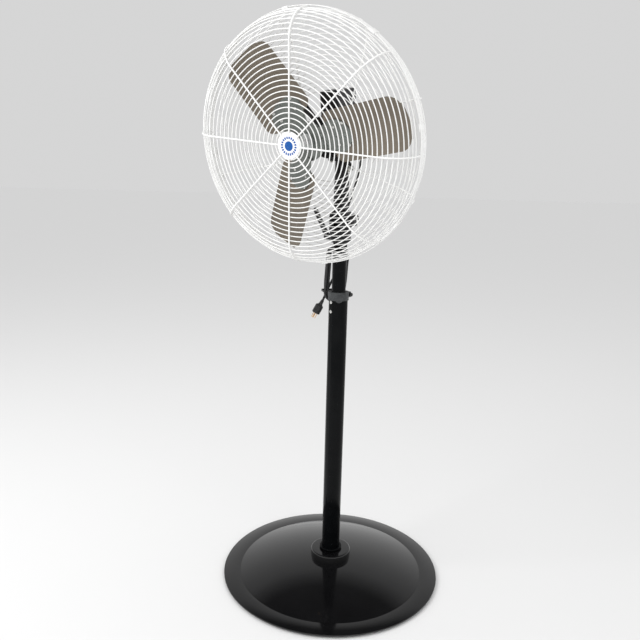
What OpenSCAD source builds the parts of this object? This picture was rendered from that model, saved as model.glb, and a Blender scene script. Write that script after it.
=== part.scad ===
// Pedestal fan with a wire guard on a telescopic stand.
// Millimetres, +Z up, the floor at z = 0 and the column's axis on the Z axis.
// The fan blows towards -Y.

/* [Base] */
// Outside diameter of the cast base
base_d = 729; // [680:1:780]
// Height of the flat outer rim
rim_h = 11; // [8:0.5:16]
// Thickness of the rim at its outer edge
rim_edge_t = 4; // [3:0.5:8]
// Radius at which the dome rises from the rim
dome_r = 308; // [280:1:320]
// Height of the dome where it meets the boss
dome_top = 59; // [50:1:70]
// Wall of the dome
base_wall = 7; // [5:0.5:10]
// Diameter of the central boss
boss_d = 134; // [110:1:160]
// Height of the top of the boss above the floor
boss_top = 84; // [76:1:90]
// Height of the seat that the column stands on
column_seat = 24; // [20:1:30]
// Number of stiffening ribs under the dome
base_ribs = 6; // [3:1:8]
// Outside diameter of the ring at the foot of the column
foot_ring_d = 75; // [70:1:90]
// Height of the ring at the foot of the column
foot_ring_h = 9.5; // [8:0.5:16]
// Diameter of the bolt that holds the column
base_bolt_d = 12; // [10:1:16]

/* [Column] */
// Outside diameter of the lower tube
tube_d = 60.3; // [57:0.1:63]
// Wall of the lower tube
tube_wall = 3; // [2.5:0.1:3.6]
// Height of the top of the lower tube
tube_top = 978; // [930:1:1000]
// Length of the plug in the lower tube's foot
plug_h = 40; // [30:1:60]
// Outside diameter of the sliding upper tube
mast_d = 44.45; // [42:0.05:46]
// Wall of the upper tube
mast_wall = 2.6; // [2:0.1:3.2]
// Height of the upper tube's lower end
mast_foot = 540; // [500:1:600]
// Length of the guide bush at the top of the lower tube
bush_h = 89; // [86:1:110]
// Length of the bush on the upper tube's foot
foot_bush_h = 40; // [30:1:60]
// Running clearance of each sliding or turning fit, per side
fit = 0.07; // [0.04:0.01:0.09]

/* [Height clamp] */
// Height of the clamp collar's band
collar_h = 26; // [22:1:34]
// Wall of the clamp collar
collar_wall = 2.8; // [2.4:0.1:4]
// Thickness of the lip over the tube's end
collar_lip = 2.7; // [2:0.1:4]
// Direction of the clamp ears, from +X
ear_angle = 75; // [60:1:100]
// How far the ears reach out from the column's axis
ear_reach = 43.5; // [41:0.5:44]
// Width of the two ears together
ear_w = 26; // [20:1:28]
// Width of the slit between the ears
ear_slit = 3; // [2:0.5:4]
// Diameter of the clamp screw
clamp_screw_d = 6; // [5:0.5:7]
// Direction of the round lug on the collar, from +X
lug_angle = -56; // [-66:1:-40]
// Direction of the bush screws, from +X
bush_screw_angle = -107; // [-120:1:-90]
// Distance between the two bush screws
bush_screw_gap = 30; // [20:1:34]

/* [Neck] */
// Height of the socket's lower edge
socket_foot = 1137; // [1136:1:1150]
// Outside diameter of the socket
socket_d = 66; // [58:1:70]
// Height of the socket
socket_h = 45; // [40:1:48]
// Depth of the upper tube in the socket
socket_depth = 38; // [30:1:40]
// Height of the tilt axis
pivot_z = 1209; // [1208:1:1215]
// Radius of the clevis cheeks
cheek_r = 27; // [24:0.5:28]
// Thickness of one clevis cheek
cheek_w = 11; // [9:0.5:13]
// Width of the arm's eye between the cheeks
eye_w = 30; // [24:0.5:34]
// Diameter of the tilt bolt
tilt_bolt_d = 12; // [10:0.5:14]
// Diameter of the tilt knob
tilt_knob_d = 38; // [34:1:46]
// Thickness of the tilt knob
tilt_knob_w = 13; // [10:0.5:20]
// Length of the pan lever's grip
lever_l = 100; // [90:1:104]
// Lean of the pan lever's grip away from the column
lever_lean = 30; // [24:1:32]

/* [Head] */
// Forward tilt of the head at rest
head_tilt = 9.55; // [0:0.01:12]
// Distance from the tilt axis forward to the guard's face
face_ahead = 246.6; // [244:0.1:256]
// Distance from the tilt axis up to the fan's axis
axis_rise = 253.7; // [250:0.1:266]
// Turn of the guard's ribs from upright
rib_turn = -5.4; // [-12:0.1:12]
// Direction of the first blade
blade_turn = 10; // [0:1:30]

/* [Guard] */
// Radius of the guard to the middle of its outermost wire
guard_r = 340; // [336:1:346]
// Depth of the guard between its two flat faces
guard_depth = 184; // [178:1:196]
// Radius of the guard's rounded shoulder
shoulder_r = 75; // [65:1:80]
// Diameter of the ring wires
wire_d = 3; // [2.5:0.1:3.4]
// Diameter of the rib wires
rib_d = 4.5; // [4:0.1:5]
// Radius of the innermost ring
first_ring_r = 44.7; // [43:0.1:48]
// Distance from ring to ring on the guard's face
ring_pitch = 13.7; // [12.5:0.1:15]
// Number of rings on the front guard, those on its shoulder spaced evenly
front_rings = 25; // [20:1:26]
// Number of rings left out around the motor at the back
rear_skip = 6; // [6:1:8]
// Number of front ribs
front_ribs = 8; // [6:1:12]
// Width of each rim strip
rim_w = 12; // [10:0.5:14]
// Thickness of the rim strips
rim_t = 1.6; // [1.2:0.1:2]
// Number of clips that join the two rims
clip_count = 8; // [4:4:8]
// Radius of the apex of each V-shaped rear rib
vee_r = 105; // [104:1:108]
// Half of the angle between the legs of a rear rib
vee_half = 31; // [28:1:34]
// Diameter of the badge
badge_d = 68; // [60:1:78]

/* [Motor] */
// Outside radius of the motor's shell
motor_r = 62; // [60:0.5:64]
// Wall of the motor's shell
motor_wall = 3; // [2.5:0.5:4]
// Distance of the front bell behind the guard's face
motor_front = 191; // [190:1:194]
// Length of the motor's shell between its bells
shell_l = 140; // [130:1:146]
// Diameter of the shaft
shaft_d = 16; // [14:0.5:18]
// Outside diameter of the bearings
bearing_d = 35; // [32:1:40]
// Width of the bearings
bearing_w = 11; // [9:0.5:12]
// Outside radius of the rotor's core
core_r = 32; // [30:0.1:34]
// Air gap between the core and the stator
air_gap = 0.6; // [0.4:0.1:1]
// Length of the core and the stator
core_l = 60; // [50:1:66]
// Length of the switch box
box_l = 118; // [100:1:126]
// Width of the switch box
box_w = 60; // [54:1:66]
// Height of the top of the switch box above the fan's axis
box_top = 127; // [124:1:134]
// Diameter of the switch knob
switch_d = 30; // [24:1:34]

/* [Blades] */
// Radius of the blade tips
blade_r = 314; // [300:1:318]
// Radius at which a blade's root begins
root_r = 74; // [72:1:84]
// Width of a blade along its chord
blade_w = 150; // [130:1:152]
// Thickness of a blade
blade_t = 1.6; // [1.2:0.1:2]
// Radius of the blade's hollow
camber_r = 260; // [220:1:320]
// Pitch of the blades
blade_pitch = 18; // [12:0.5:20]
// Distance of the middle of the blades behind the guard's face
blade_back = 94; // [90:1:98]
// Radius that the spider's arms reach
spider_r = 140; // [130:1:150]
// Width of a spider arm at its end
spider_w = 96; // [84:1:100]
// Thickness of the spider
spider_t = 2.5; // [2:0.1:3]
// Diameter of the hub
hub_d = 44; // [38:1:48]

/* [Cord] */
// Diameter of the mains cord
cord_d = 7.6; // [7:0.1:8]
// Length of the straight runs of the hank
hank_run = 120; // [114:1:130]
// Distance of the hank's middle from the column's axis
hank_out = 64; // [62:0.5:66]
// Direction of the hank, from +X
hank_angle = 135; // [130:1:150]
// Height of the hank's middle
hank_z = 1028; // [1020:1:1036]

/* [Hidden] */
$fn = 96;

// finishes
gloss_black = [0.03, 0.03, 0.035];
dull_grey = [0.16, 0.16, 0.17];
zinc = [0.78, 0.78, 0.76];
guard_white = [0.93, 0.93, 0.92];
blade_grey = [0.50, 0.46, 0.42];
spider_grey = [0.66, 0.68, 0.68];
brass_tone = [0.80, 0.55, 0.25];

// small overlap that joins solids, and the gap of a seat that touches
join = 0.5;
seat = 0.05;
// gap between pieces that pass each other
pass_gap = 0.3;

// base
base_r = base_d / 2;
boss_r = boss_d / 2;
dome_low = rim_h + 1;
dome_z = (dome_top + dome_low - (dome_r * dome_r - boss_r * boss_r) / (dome_top - dome_low)) / 2;
dome_sphere_r = sqrt(boss_r * boss_r + (dome_top - dome_z) * (dome_top - dome_z));
rim_edge_break = 1.2;
boss_edge_r = 5;
seat_wall = 10;
seat_core_r = 48;
base_rib_t = 8;
base_rib_z = 4;
pocket_top = seat_wall + base_rib_z;
bolt_head_h = 5.5;
washer_h = 2.5;
tube_r = tube_d / 2;
tube_bore_r = tube_r - tube_wall;
ring_neck_h = 3;

// mast and clamp
mast_r = mast_d / 2;
collar_r = tube_r + collar_wall;
collar_foot = tube_top - collar_h + 3;
collar_top = tube_top + pass_gap + collar_lip;
ear_z = tube_top - 9;
ear_h = 18;
ear_screw_r = ear_reach - 6;
lug_r = 11.5;
lug_z = collar_foot + 6;
bush_screw_z = collar_foot - 6;
small_screw_d = 4.8;
small_head_d = 10.4;

// neck
socket_top = socket_foot + socket_h;
mast_top = socket_foot + socket_depth;
cheek_x = eye_w / 2 + 0.4;
knob_x = cheek_x + cheek_w + 15;
lever_z = socket_foot + 14;
lever_hub_d = 22;
lever_hub_h = 18;
lever_boss_d = 20;
lever_screw_d = 8;
bolt_nut_h = 8;
clip_screw_d = 4;
clip_y = 41;
clip_plate_t = 2.4;
clip_screw_x = -11;
clip_z = socket_foot + 23;

// guard: a wire's place is found from its distance along the guard
flat_r = guard_r - shoulder_r;
turn_l = shoulder_r * PI / 2;
function bend(s) = min(max(s - flat_r, 0), turn_l) / shoulder_r * 180 / PI;
function ring_at(s) = [min(s, flat_r) + shoulder_r * sin(bend(s)),
                       -shoulder_r * (1 - cos(bend(s))) - max(s - flat_r - turn_l, 0)];
flat_rings = floor((flat_r - first_ring_r) / ring_pitch) + 1;
rim_seam = 0.6;
ring_gap = 12.51;
last_ring_s = flat_r + turn_l + guard_depth / 2 - shoulder_r - rim_seam / 2 - rim_w - wire_d / 2 - ring_gap;
last_flat_s = first_ring_r + (flat_rings - 1) * ring_pitch;
shoulder_pitch = (last_ring_s - last_flat_s) / (front_rings - flat_rings);
function ring_s(i) = i < flat_rings ? first_ring_r + i * ring_pitch
                                    : last_flat_s + (i - flat_rings + 1) * shoulder_pitch;
weld = 0.15;
rib_off = (wire_d + rib_d) / 2 - weld;
guard_mid = -guard_depth / 2;
badge_t = 3;
badge_edge = 1.5;
rim_r = guard_r + rib_off + rib_d / 2 - weld + rim_t;
rib_end = guard_mid + 3;
rib_start = badge_d / 2 + 0.6;
plate_t = 1.6;
plate_r = badge_d / 2 + 4;
plate_top = rib_off - rib_d / 2 + 0.3;
clip_w = 18;
clip_t = 1.4;
vee_count = 4;
function along_leg(r) = sqrt(r * r - pow(vee_r * sin(vee_half), 2)) - vee_r * cos(vee_half);
vee_leg = round(10 * along_leg(flat_r)) / 10;
vee_bend = round(10 * (along_leg(guard_r + rib_off) - vee_leg)) / 10;
clip_turn = rib_turn + 11.5;
guard_screw_r = vee_r + 11;
lug_w = 21;
lug_front = -guard_depth - rib_off - rib_d / 2 - seat;
lug_t = 6;
guard_screw_d = 6;

// motor, measured back from the guard's face
bell_front = -motor_front;
front_bell_l = 8;
rear_bell_l = 27;
bell_edge = 3;
rear_bell_edge = 4;
rear_bell_wall = 5;
bell_cut = 50;
bolt_d = 5;
shaft_gap = 1;
seat_wall_r = 6;
bearing_rest = 8;
shell_front = bell_front - front_bell_l;
shell_back = shell_front - shell_l;
motor_back = shell_back - rear_bell_l;
shaft_back = motor_back + rear_bell_wall;
core_mid = (shell_front + shell_back) / 2;
stator_r = motor_r - motor_wall - 0.1;
bolt_ring_r = stator_r - 5.4;
bolt_turn = 45;
bearing_front = shell_front - bearing_w;
box_front = shell_front - 10;
box_back = box_front - box_l;
box_wall = 3;
cover_h = 12;
cover_y = box_top - cover_h;
box_corner_r = 10;
box_floor = motor_r + 6;
box_mid = (box_front + box_back) / 2;
box_screw_in = 8;
cap_d = 34;
cap_l = 60;
cap_gap = 20;
switch_y = 92;
saddle_mid = -285;
saddle_l = 80;
saddle_w = 66;
saddle_wrap = 13;
arm_top_r = 22;
arm_top_ahead = 10;
saddle_bolt_x = 25;
saddle_bolt_z = 31;
saddle_foot = -motor_r - 15;
saddle_bolt_l = -saddle_foot - sqrt(pow(motor_r - motor_wall, 2) - pow(saddle_bolt_x - 4, 2)) - 0.3;
gland_x = 18;
gland_z = shell_back - 14;
gland_boss_d = 19.6;
gland_l = 20;
gland_d = 12;

// fan
hub_back = -blade_back - 34;
hub_front = -blade_back + 14;
disc_r = 54;
disc_t = 5;
hub_flange_r = disc_r - 14;
arm_root_r = hub_flange_r + 0.5;
arm_root_w = 60;
rivet_d = 5;
rivet_spots = [[94, -26], [94, 26], [124, -32], [124, 32]];

// cord: the middle line of each stretch that is not in the hank
lead_points = [[18, 75.4, 1402], [18, 77.4, 1390], [18, 79, 1378], [17, 79, 1362], [15, 76, 1344],
               [12.5, 69.5, 1324], [10, 62, 1305], [7, 53, 1284], [4, 46, 1264], [1, 42, 1250],
               [0, 41, 1238]];
run_points = [[0, 41, 1186], [0, 41, 1168], [0, 41, 1152], [-4, 45, 1140], [-11, 51, 1128],
              [-19, 54, 1115], [-26, 55, 1103], [-32, 53.5, 1092]];
tail_points = [[-62.8, 38.2, 972.4], [-67.3, 35.4, 961], [-71.8, 32.5, 949.5], [-76.4, 29.7, 938]];
hank_r = 4 * cord_d + cord_d / 2;
hank_t = 3 * cord_d;
plug_lean = 28;
plug_angle = 212;
plug_l = 48;
plug_neck = 18;
plug_w = 27;
plug_t = 24;
prong_pitch = 12.7;
prong_w = 6.3;
prong_t = 1.5;
prong_l = 17;
earth_d = 4.8;
earth_l = 19;

// places of the head: x to the right, y up, z forward from the middle of the guard's face
module head_at() {
    translate([0, 0, pivot_z]) rotate([head_tilt, 0, 0])
        translate([0, -face_ahead, axis_rise]) rotate([90, 0, 0]) children();
}

// shared shapes
module ring(r, z, d) {
    translate([0, 0, z]) rotate_extrude() translate([r, 0]) circle(d = d, $fn = 24);
}

module pipe(ri, ro, h) {
    difference() {
        cylinder(h = h, r = ro);
        translate([0, 0, -1]) cylinder(h = h + 2, r = ri);
    }
}

module hex(across, h) {
    cylinder(h = h, r = across / sqrt(3), $fn = 6);
}

module pan_head(d, h) {
    intersection() {
        cylinder(h = h, d = d);
        translate([0, 0, h - d]) sphere(r = d);
    }
}

module rounded_plate(w, l, r) {
    square([w - 2 * r, l], center = true);
    square([w, l - 2 * r], center = true);
    for (x = [-1, 1]) for (y = [-1, 1])
        translate([x * (w / 2 - r), y * (l / 2 - r)]) circle(r = r, $fn = 48);
}

// a tube swept along points, with closed ends
function unit(v) = v / norm(v);
function heading(p, i) = unit(p[min(i + 1, len(p) - 1)] - p[max(i - 1, 0)]);
function side_of(t) = unit(cross(t, abs(t[0]) < 0.8 ? [1, 0, 0] : [0, 1, 0]));
module cord_tube(p, d, sides = 10) {
    n = len(p);
    rows = [for (i = [0:n - 1]) let (t = heading(p, i), a = side_of(t), b = cross(t, a))
        for (k = [0:sides - 1]) let (w = 360 * k / sides) p[i] + d / 2 * (cos(w) * a + sin(w) * b)];
    walls = [for (i = [0:n - 2]) for (k = [0:sides - 1])
        [i * sides + k, i * sides + (k + 1) % sides, (i + 1) * sides + (k + 1) % sides, (i + 1) * sides + k]];
    caps = [[for (k = [sides - 1:-1:0]) k], [for (k = [0:sides - 1]) (n - 1) * sides + k]];
    polyhedron(points = rows, faces = concat(walls, caps), convexity = 6);
}

// stand ------------------------------------------------------------------
module base() color(gloss_black) difference() {
    union() {
        rotate_extrude($fn = 180)
            polygon([[0, 0], [base_r - rim_h + rim_edge_t, 0], [base_r, rim_h - rim_edge_t],
                     [base_r, rim_h - rim_edge_break], [base_r - rim_edge_break, rim_h], [0, rim_h]]);
        intersection() {
            translate([0, 0, dome_z]) sphere(r = dome_sphere_r, $fn = 360);
            cylinder(h = dome_top + 10, r = dome_r, $fn = 180);
        }
        rotate_extrude() {
            square([boss_r - boss_edge_r, boss_top]);
            square([boss_r, boss_top - boss_edge_r]);
            translate([boss_r - boss_edge_r, boss_top - boss_edge_r]) circle(r = boss_edge_r, $fn = 32);
        }
    }
    difference() {
        intersection() {
            translate([0, 0, dome_z]) sphere(r = dome_sphere_r - base_wall, $fn = 360);
            translate([0, 0, -1]) cylinder(h = dome_top + 10, r = dome_r - base_wall, $fn = 180);
        }
        translate([0, 0, pocket_top]) cylinder(h = boss_top, r = seat_core_r);
        for (i = [0:base_ribs - 1]) rotate([0, 0, i * 360 / base_ribs])
            translate([seat_core_r - join, -base_rib_t / 2, base_rib_z])
                cube([dome_r, base_rib_t, dome_top]);
    }
    translate([0, 0, column_seat]) cylinder(h = boss_top, r = tube_r + 0.1);
    translate([0, 0, -1]) cylinder(h = boss_top, r = base_bolt_d / 2 + 0.5);
}

module base_bolt() color(zinc) {
    translate([0, 0, pocket_top - washer_h - bolt_head_h]) hex(base_bolt_d * 1.5, bolt_head_h - seat);
    translate([0, 0, pocket_top - washer_h]) cylinder(h = washer_h - seat, r = base_bolt_d * 1.2);
    translate([0, 0, seat_wall])
        cylinder(h = column_seat + plug_h - base_bolt_d - seat_wall, d = base_bolt_d);
}

module column_plug() color(dull_grey) translate([0, 0, column_seat + seat]) difference() {
    cylinder(h = plug_h, r = tube_bore_r - seat);
    translate([0, 0, -1]) cylinder(h = plug_h + 2, r = base_bolt_d / 2 + seat);
}

module lower_tube() color(gloss_black) difference() {
    translate([0, 0, column_seat + seat]) pipe(tube_bore_r, tube_r, tube_top - column_seat - seat);
    bush_screw_places() cylinder(h = 40, d = small_screw_d + 0.2, $fn = 32);
}

module foot_ring() color(gloss_black) translate([0, 0, boss_top + seat]) difference() {
    union() {
        cylinder(h = foot_ring_h, r = tube_r + 2);
        translate([0, 0, ring_neck_h]) rotate_extrude() {
            square([foot_ring_d / 2 - 2, foot_ring_h - ring_neck_h]);
            translate([0, 2]) square([foot_ring_d / 2, foot_ring_h - ring_neck_h - 4]);
            for (z = [2, foot_ring_h - ring_neck_h - 2])
                translate([foot_ring_d / 2 - 2, z]) circle(r = 2, $fn = 32);
        }
    }
    translate([0, 0, -1]) cylinder(h = foot_ring_h + 2, r = tube_r + 0.1);
}

module guide_bush() color(dull_grey) difference() {
    translate([0, 0, tube_top - bush_h]) pipe(mast_r + fit, tube_bore_r - seat, bush_h - seat);
    bush_screw_places() cylinder(h = 40, d = small_screw_d + 0.1, $fn = 32);
}

module bush_screw_places() {
    for (i = [0, 1]) rotate([0, 0, bush_screw_angle])
        translate([mast_r + 1.4, 0, bush_screw_z - i * bush_screw_gap]) rotate([0, 90, 0]) children();
}

module bush_screws() color(zinc) bush_screw_places() {
    cylinder(h = tube_r - mast_r - 1.2, d = small_screw_d, $fn = 32);
    translate([0, 0, tube_r - mast_r - 1.4 + 0.15]) pan_head(small_head_d, 3, $fn = 48);
}

module clamp_collar() color(dull_grey) difference() {
    union() {
        translate([0, 0, collar_foot]) cylinder(h = collar_top - collar_foot, r = collar_r);
        rotate([0, 0, ear_angle]) translate([tube_r, -ear_w / 2, ear_z - ear_h / 2])
            cube([ear_reach - tube_r - 3, ear_w, ear_h]);
        rotate([0, 0, ear_angle]) translate([ear_reach - 3, 0, ear_z])
            rotate([90, 0, 0]) linear_extrude(ear_w, center = true) rounded_plate(6, ear_h, 2.9);
        rotate([0, 0, lug_angle]) translate([0, 0, lug_z]) rotate([0, 90, 0])
            cylinder(h = collar_r + 1.4, r = lug_r, $fn = 64);
    }
    translate([0, 0, collar_foot - 20])
        cylinder(h = tube_top + pass_gap - collar_foot + 20, r = tube_r + 0.1);
    translate([0, 0, tube_top - 1]) cylinder(h = 20, r = mast_r + 0.4);
    rotate([0, 0, ear_angle]) translate([mast_r, -ear_slit / 2, collar_foot - 1])
        cube([ear_reach, ear_slit, collar_h + 20]);
    rotate([0, 0, ear_angle]) translate([ear_screw_r, 0, ear_z]) rotate([90, 0, 0])
        cylinder(h = ear_w + 2, d = clamp_screw_d + 2 * fit, center = true, $fn = 48);
}

module height_screw() color(zinc) rotate([0, 0, ear_angle]) translate([ear_screw_r, 0, ear_z])
    rotate([90, 0, 0]) {
        translate([0, 0, -ear_w / 2 - 3]) cylinder(h = ear_w + 3 + pass_gap, d = clamp_screw_d, $fn = 48);
        translate([0, 0, ear_w / 2 + pass_gap]) cylinder(h = 8, d = 12, $fn = 48);
    }

// mast -------------------------------------------------------------------
module upper_tube() color(gloss_black)
    translate([0, 0, mast_foot]) pipe(mast_r - mast_wall, mast_r, mast_top - mast_foot);

module foot_bush() color(dull_grey)
    translate([0, 0, mast_foot]) pipe(mast_r + seat, tube_bore_r - fit, foot_bush_h);

// neck -------------------------------------------------------------------
module neck_socket() color(gloss_black) difference() {
    union() {
        translate([0, 0, socket_foot]) rotate_extrude() {
            square([socket_d / 2 - 3, socket_h]);
            translate([0, 3]) square([socket_d / 2, socket_h - 6]);
            for (z = [3, socket_h - 3]) translate([socket_d / 2 - 3, z]) circle(r = 3, $fn = 32);
        }
        for (s = [-1, 1]) translate([s * (cheek_x + cheek_w / 2), 0, 0]) {
            translate([-cheek_w / 2, -cheek_r + 2, socket_top - 12])
                cube([cheek_w, 2 * cheek_r - 4, pivot_z - socket_top + 12]);
            translate([0, 0, pivot_z]) rotate([0, 90, 0]) cylinder(h = cheek_w, r = cheek_r, center = true);
        }
        translate([-socket_d / 2 - 3, 0, lever_z]) rotate([0, 90, 0])
            cylinder(h = 12, d = lever_boss_d, $fn = 64);
    }
    translate([0, 0, socket_foot - 1]) cylinder(h = socket_depth + 1 + seat, r = mast_r + 0.1);
    translate([0, 0, pivot_z]) rotate([0, 90, 0])
        cylinder(h = 3 * eye_w, d = tilt_bolt_d + 2 * fit, center = true, $fn = 64);
    translate([-socket_d, 0, lever_z]) rotate([0, 90, 0])
        cylinder(h = socket_d - mast_r, d = lever_screw_d + 2 * fit, $fn = 48);
    translate([clip_screw_x, socket_d / 2 + 10, clip_z]) rotate([90, 0, 0])
        cylinder(h = 20, d = clip_screw_d + 0.2, $fn = 32);
}

module tilt_bolt() color(zinc) translate([0, 0, pivot_z]) rotate([0, 90, 0]) {
    translate([0, 0, -cheek_x - cheek_w - bolt_nut_h]) hex(tilt_bolt_d * 1.5, bolt_nut_h - seat);
    translate([0, 0, -cheek_x - cheek_w - 1])
        cylinder(h = cheek_x + cheek_w + 1 + knob_x, d = tilt_bolt_d, $fn = 64);
}

module tilt_knob() color(gloss_black) translate([0, 0, pivot_z]) rotate([0, 90, 0]) difference() {
    union() {
        translate([0, 0, cheek_x + cheek_w + pass_gap]) cylinder(h = knob_x - cheek_x - cheek_w + 2, d = 26);
        translate([0, 0, knob_x]) rotate_extrude() {
            square([tilt_knob_d / 2 - 3, tilt_knob_w]);
            translate([0, 3]) square([tilt_knob_d / 2, tilt_knob_w - 6]);
            for (z = [3, tilt_knob_w - 3]) translate([tilt_knob_d / 2 - 3, z]) circle(r = 3, $fn = 32);
        }
    }
    translate([0, 0, 0]) cylinder(h = knob_x + pass_gap, d = tilt_bolt_d + 2 * fit, $fn = 64);
    for (k = [0:7]) rotate([0, 0, k * 45 + 22.5])
        translate([tilt_knob_d / 2 + 5, 0, knob_x - 1]) cylinder(h = tilt_knob_w + 2, d = 16, $fn = 32);
}

module pan_lever() color(gloss_black) translate([0, 0, lever_z]) {
    translate([-socket_d / 2 - 3 - pass_gap - lever_hub_h, 0, 0]) rotate([0, 90, 0])
        cylinder(h = lever_hub_h, d = lever_hub_d, $fn = 64);
    translate([-socket_d / 2 - 4, 0, 0]) rotate([0, 90, 0])
        cylinder(h = socket_d / 2 + 4 - mast_r - 0.8, d = lever_screw_d, $fn = 48);
    translate([-socket_d / 2 - 14, 0, 0]) rotate([0, -lever_lean, 0]) {
        cylinder(h = lever_l - 7, r1 = 9, r2 = 7.3, $fn = 48);
        translate([0, 0, lever_l - 7]) sphere(r = 7.4, $fn = 48);
    }
}

module cord_clip() color(dull_grey) difference() {
    union() {
        translate([0, clip_y, clip_z - 6]) cylinder(h = 12, r = cord_d / 2 + 1.8, $fn = 48);
        translate([clip_screw_x - 6, socket_d / 2 + seat, clip_z - 6]) cube([22, clip_plate_t, 12]);
        translate([-4, socket_d / 2 + seat, clip_z - 6]) cube([8, clip_y - socket_d / 2 - 2, 12]);
    }
    translate([0, clip_y, clip_z - 7]) cylinder(h = 14, r = cord_d / 2 + seat, $fn = 48);
    translate([clip_screw_x, socket_d / 2 + 10, clip_z]) rotate([90, 0, 0])
        cylinder(h = 20, d = clip_screw_d + 0.2, $fn = 32);
}

module clip_screw() color(zinc) translate([clip_screw_x, socket_d / 2 + clip_plate_t + seat, clip_z])
    rotate([-90, 0, 0]) {
    translate([0, 0, -9]) cylinder(h = 9.2, d = clip_screw_d, $fn = 32);
    translate([0, 0, seat]) pan_head(8, 2.6, $fn = 48);
}

module cord_run() color(gloss_black) cord_tube(run_points, cord_d);

module hank_at() {
    rotate([0, 0, hank_angle]) translate([hank_out, 0, hank_z]) rotate([90, 0, 90]) children();
}

module cord_hank() color(gloss_black) hank_at() translate([0, 0, -hank_t / 2]) linear_extrude(hank_t) {
    square([2 * hank_r, hank_run], center = true);
    for (s = [-1, 1]) translate([0, s * hank_run / 2]) circle(r = hank_r, $fn = 64);
}

module cord_tie() color(dull_grey) hank_at() translate([0, -hank_run / 2 + 4, 0]) rotate([90, 0, 0])
    linear_extrude(6, center = true) difference() {
        rounded_plate(2 * hank_r + 3.2, hank_t + 3.2, 3);
        square([2 * hank_r + 2 * seat, hank_t + 2 * seat], center = true);
    }

module cord_tail() color(gloss_black) cord_tube(tail_points, cord_d);

module plug_at() {
    translate(tail_points[len(tail_points) - 1]) rotate([0, 0, plug_angle]) rotate([0, -plug_lean, 0])
        children();
}

module plug_body() color(gloss_black) plug_at() {
    translate([0, 0, -plug_neck]) cylinder(h = plug_neck, r1 = 8, r2 = cord_d / 2 + 1.2, $fn = 48);
    translate([0, 0, -plug_l]) linear_extrude(plug_l - plug_neck + 1) rounded_plate(plug_w, plug_t, 10);
}

module plug_prongs() color(brass_tone) plug_at() translate([0, 0, -plug_l - seat]) {
    for (s = [-1, 1]) translate([s * prong_pitch / 2 - prong_t / 2, 2 - prong_w / 2, -prong_l])
        cube([prong_t, prong_w, prong_l]);
    translate([0, -6, -earth_l]) cylinder(h = earth_l, d = earth_d, $fn = 32);
}

// head: arm ----------------------------------------------------------------
module at_pivot() translate([0, -axis_rise, -face_ahead]) children();

module neck_arm() color(gloss_black) head_at() difference() {
    union() {
        at_pivot() rotate([0, 90, 0]) cylinder(h = eye_w, r = cheek_r - 2, center = true);
        at_pivot() translate([-eye_w / 2, 0, -20]) cube([eye_w, 36, 40]);
        hull() {
            at_pivot() translate([-eye_w / 2, 32, -20]) cube([eye_w, 2, 40]);
            at_pivot() translate([0, 64, -8]) rotate([90, 0, 0]) cylinder(h = 2, r = 23, $fn = 32);
        }
        hull() {
            at_pivot() translate([0, 64, -8]) rotate([90, 0, 0]) cylinder(h = 2, r = 23, $fn = 32);
            translate([0, saddle_foot + 2, saddle_mid + arm_top_ahead]) rotate([90, 0, 0])
                cylinder(h = 2, r = arm_top_r, $fn = 32);
        }
        translate([-saddle_w / 2, saddle_foot, saddle_mid - saddle_l / 2])
            cube([saddle_w, -saddle_foot - motor_r + saddle_wrap, saddle_l]);
    }
    translate([0, 0, saddle_mid - saddle_l]) cylinder(h = 2 * saddle_l, r = motor_r + seat);
    at_pivot() rotate([0, 90, 0]) cylinder(h = eye_w + 2, d = tilt_bolt_d + 2 * fit, center = true, $fn = 64);
    saddle_bolt_places() cylinder(h = 40, d = 8.2, $fn = 32);
}

module saddle_bolt_places() {
    for (x = [-1, 1]) for (z = [-1, 1])
        translate([x * saddle_bolt_x, saddle_foot - seat, saddle_mid + z * saddle_bolt_z])
            rotate([-90, 0, 0]) children();
}

module saddle_bolts() color(zinc) head_at() saddle_bolt_places() {
    translate([0, 0, -5.5]) hex(13, 5.5);
    cylinder(h = saddle_bolt_l, d = 8, $fn = 32);
}

// head: motor --------------------------------------------------------------
module motor_shell() color(gloss_black) head_at() difference() {
    translate([0, 0, shell_back]) pipe(motor_r - motor_wall, motor_r, shell_l);
    saddle_bolt_places() cylinder(h = 40, d = 8.2, $fn = 32);
}

module bolt_places(z) {
    for (k = [0:3]) rotate([0, 0, bolt_turn + k * 90]) translate([bolt_ring_r, 0, z]) children();
}

module front_bell() color(gloss_black) head_at() difference() {
    union() {
        translate([0, 0, shell_front + seat]) rotate_extrude() {
            square([motor_r - bell_edge, front_bell_l - seat]);
            square([motor_r, front_bell_l - seat - bell_edge]);
            translate([motor_r - bell_edge, front_bell_l - seat - bell_edge]) circle(r = bell_edge, $fn = 32);
        }
        translate([0, 0, bearing_front]) cylinder(h = bearing_w + front_bell_l + 1, r = bearing_d / 2 + seat_wall_r);
        translate([0, 0, bell_front - 1]) cylinder(h = 5, r1 = 30, r2 = 26);
        for (k = [0:vee_count - 1]) rotate([0, 0, rib_turn + 45 + k * 90]) {
            translate([motor_r - 20, -lug_w / 2, lug_front - lug_t])
                cube([guard_screw_r - motor_r + 20 - 4, lug_w, lug_t]);
            translate([guard_screw_r - 4, 0, lug_front - lug_t]) cylinder(h = lug_t, d = lug_w);
        }
    }
    translate([0, 0, bearing_front - 1]) cylinder(h = bearing_w + 1 + seat, r = bearing_d / 2 + seat);
    translate([0, 0, bearing_front - 2]) cylinder(h = bell_cut, r = shaft_d / 2 + shaft_gap);
    bolt_places(shell_front - 1) cylinder(h = 5, d = bolt_d + 2 * seat, $fn = 32);
    guard_screw_places() translate([0, 0, -lug_t - 1]) cylinder(h = lug_t + 2, d = guard_screw_d + 0.2, $fn = 32);
}

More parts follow.
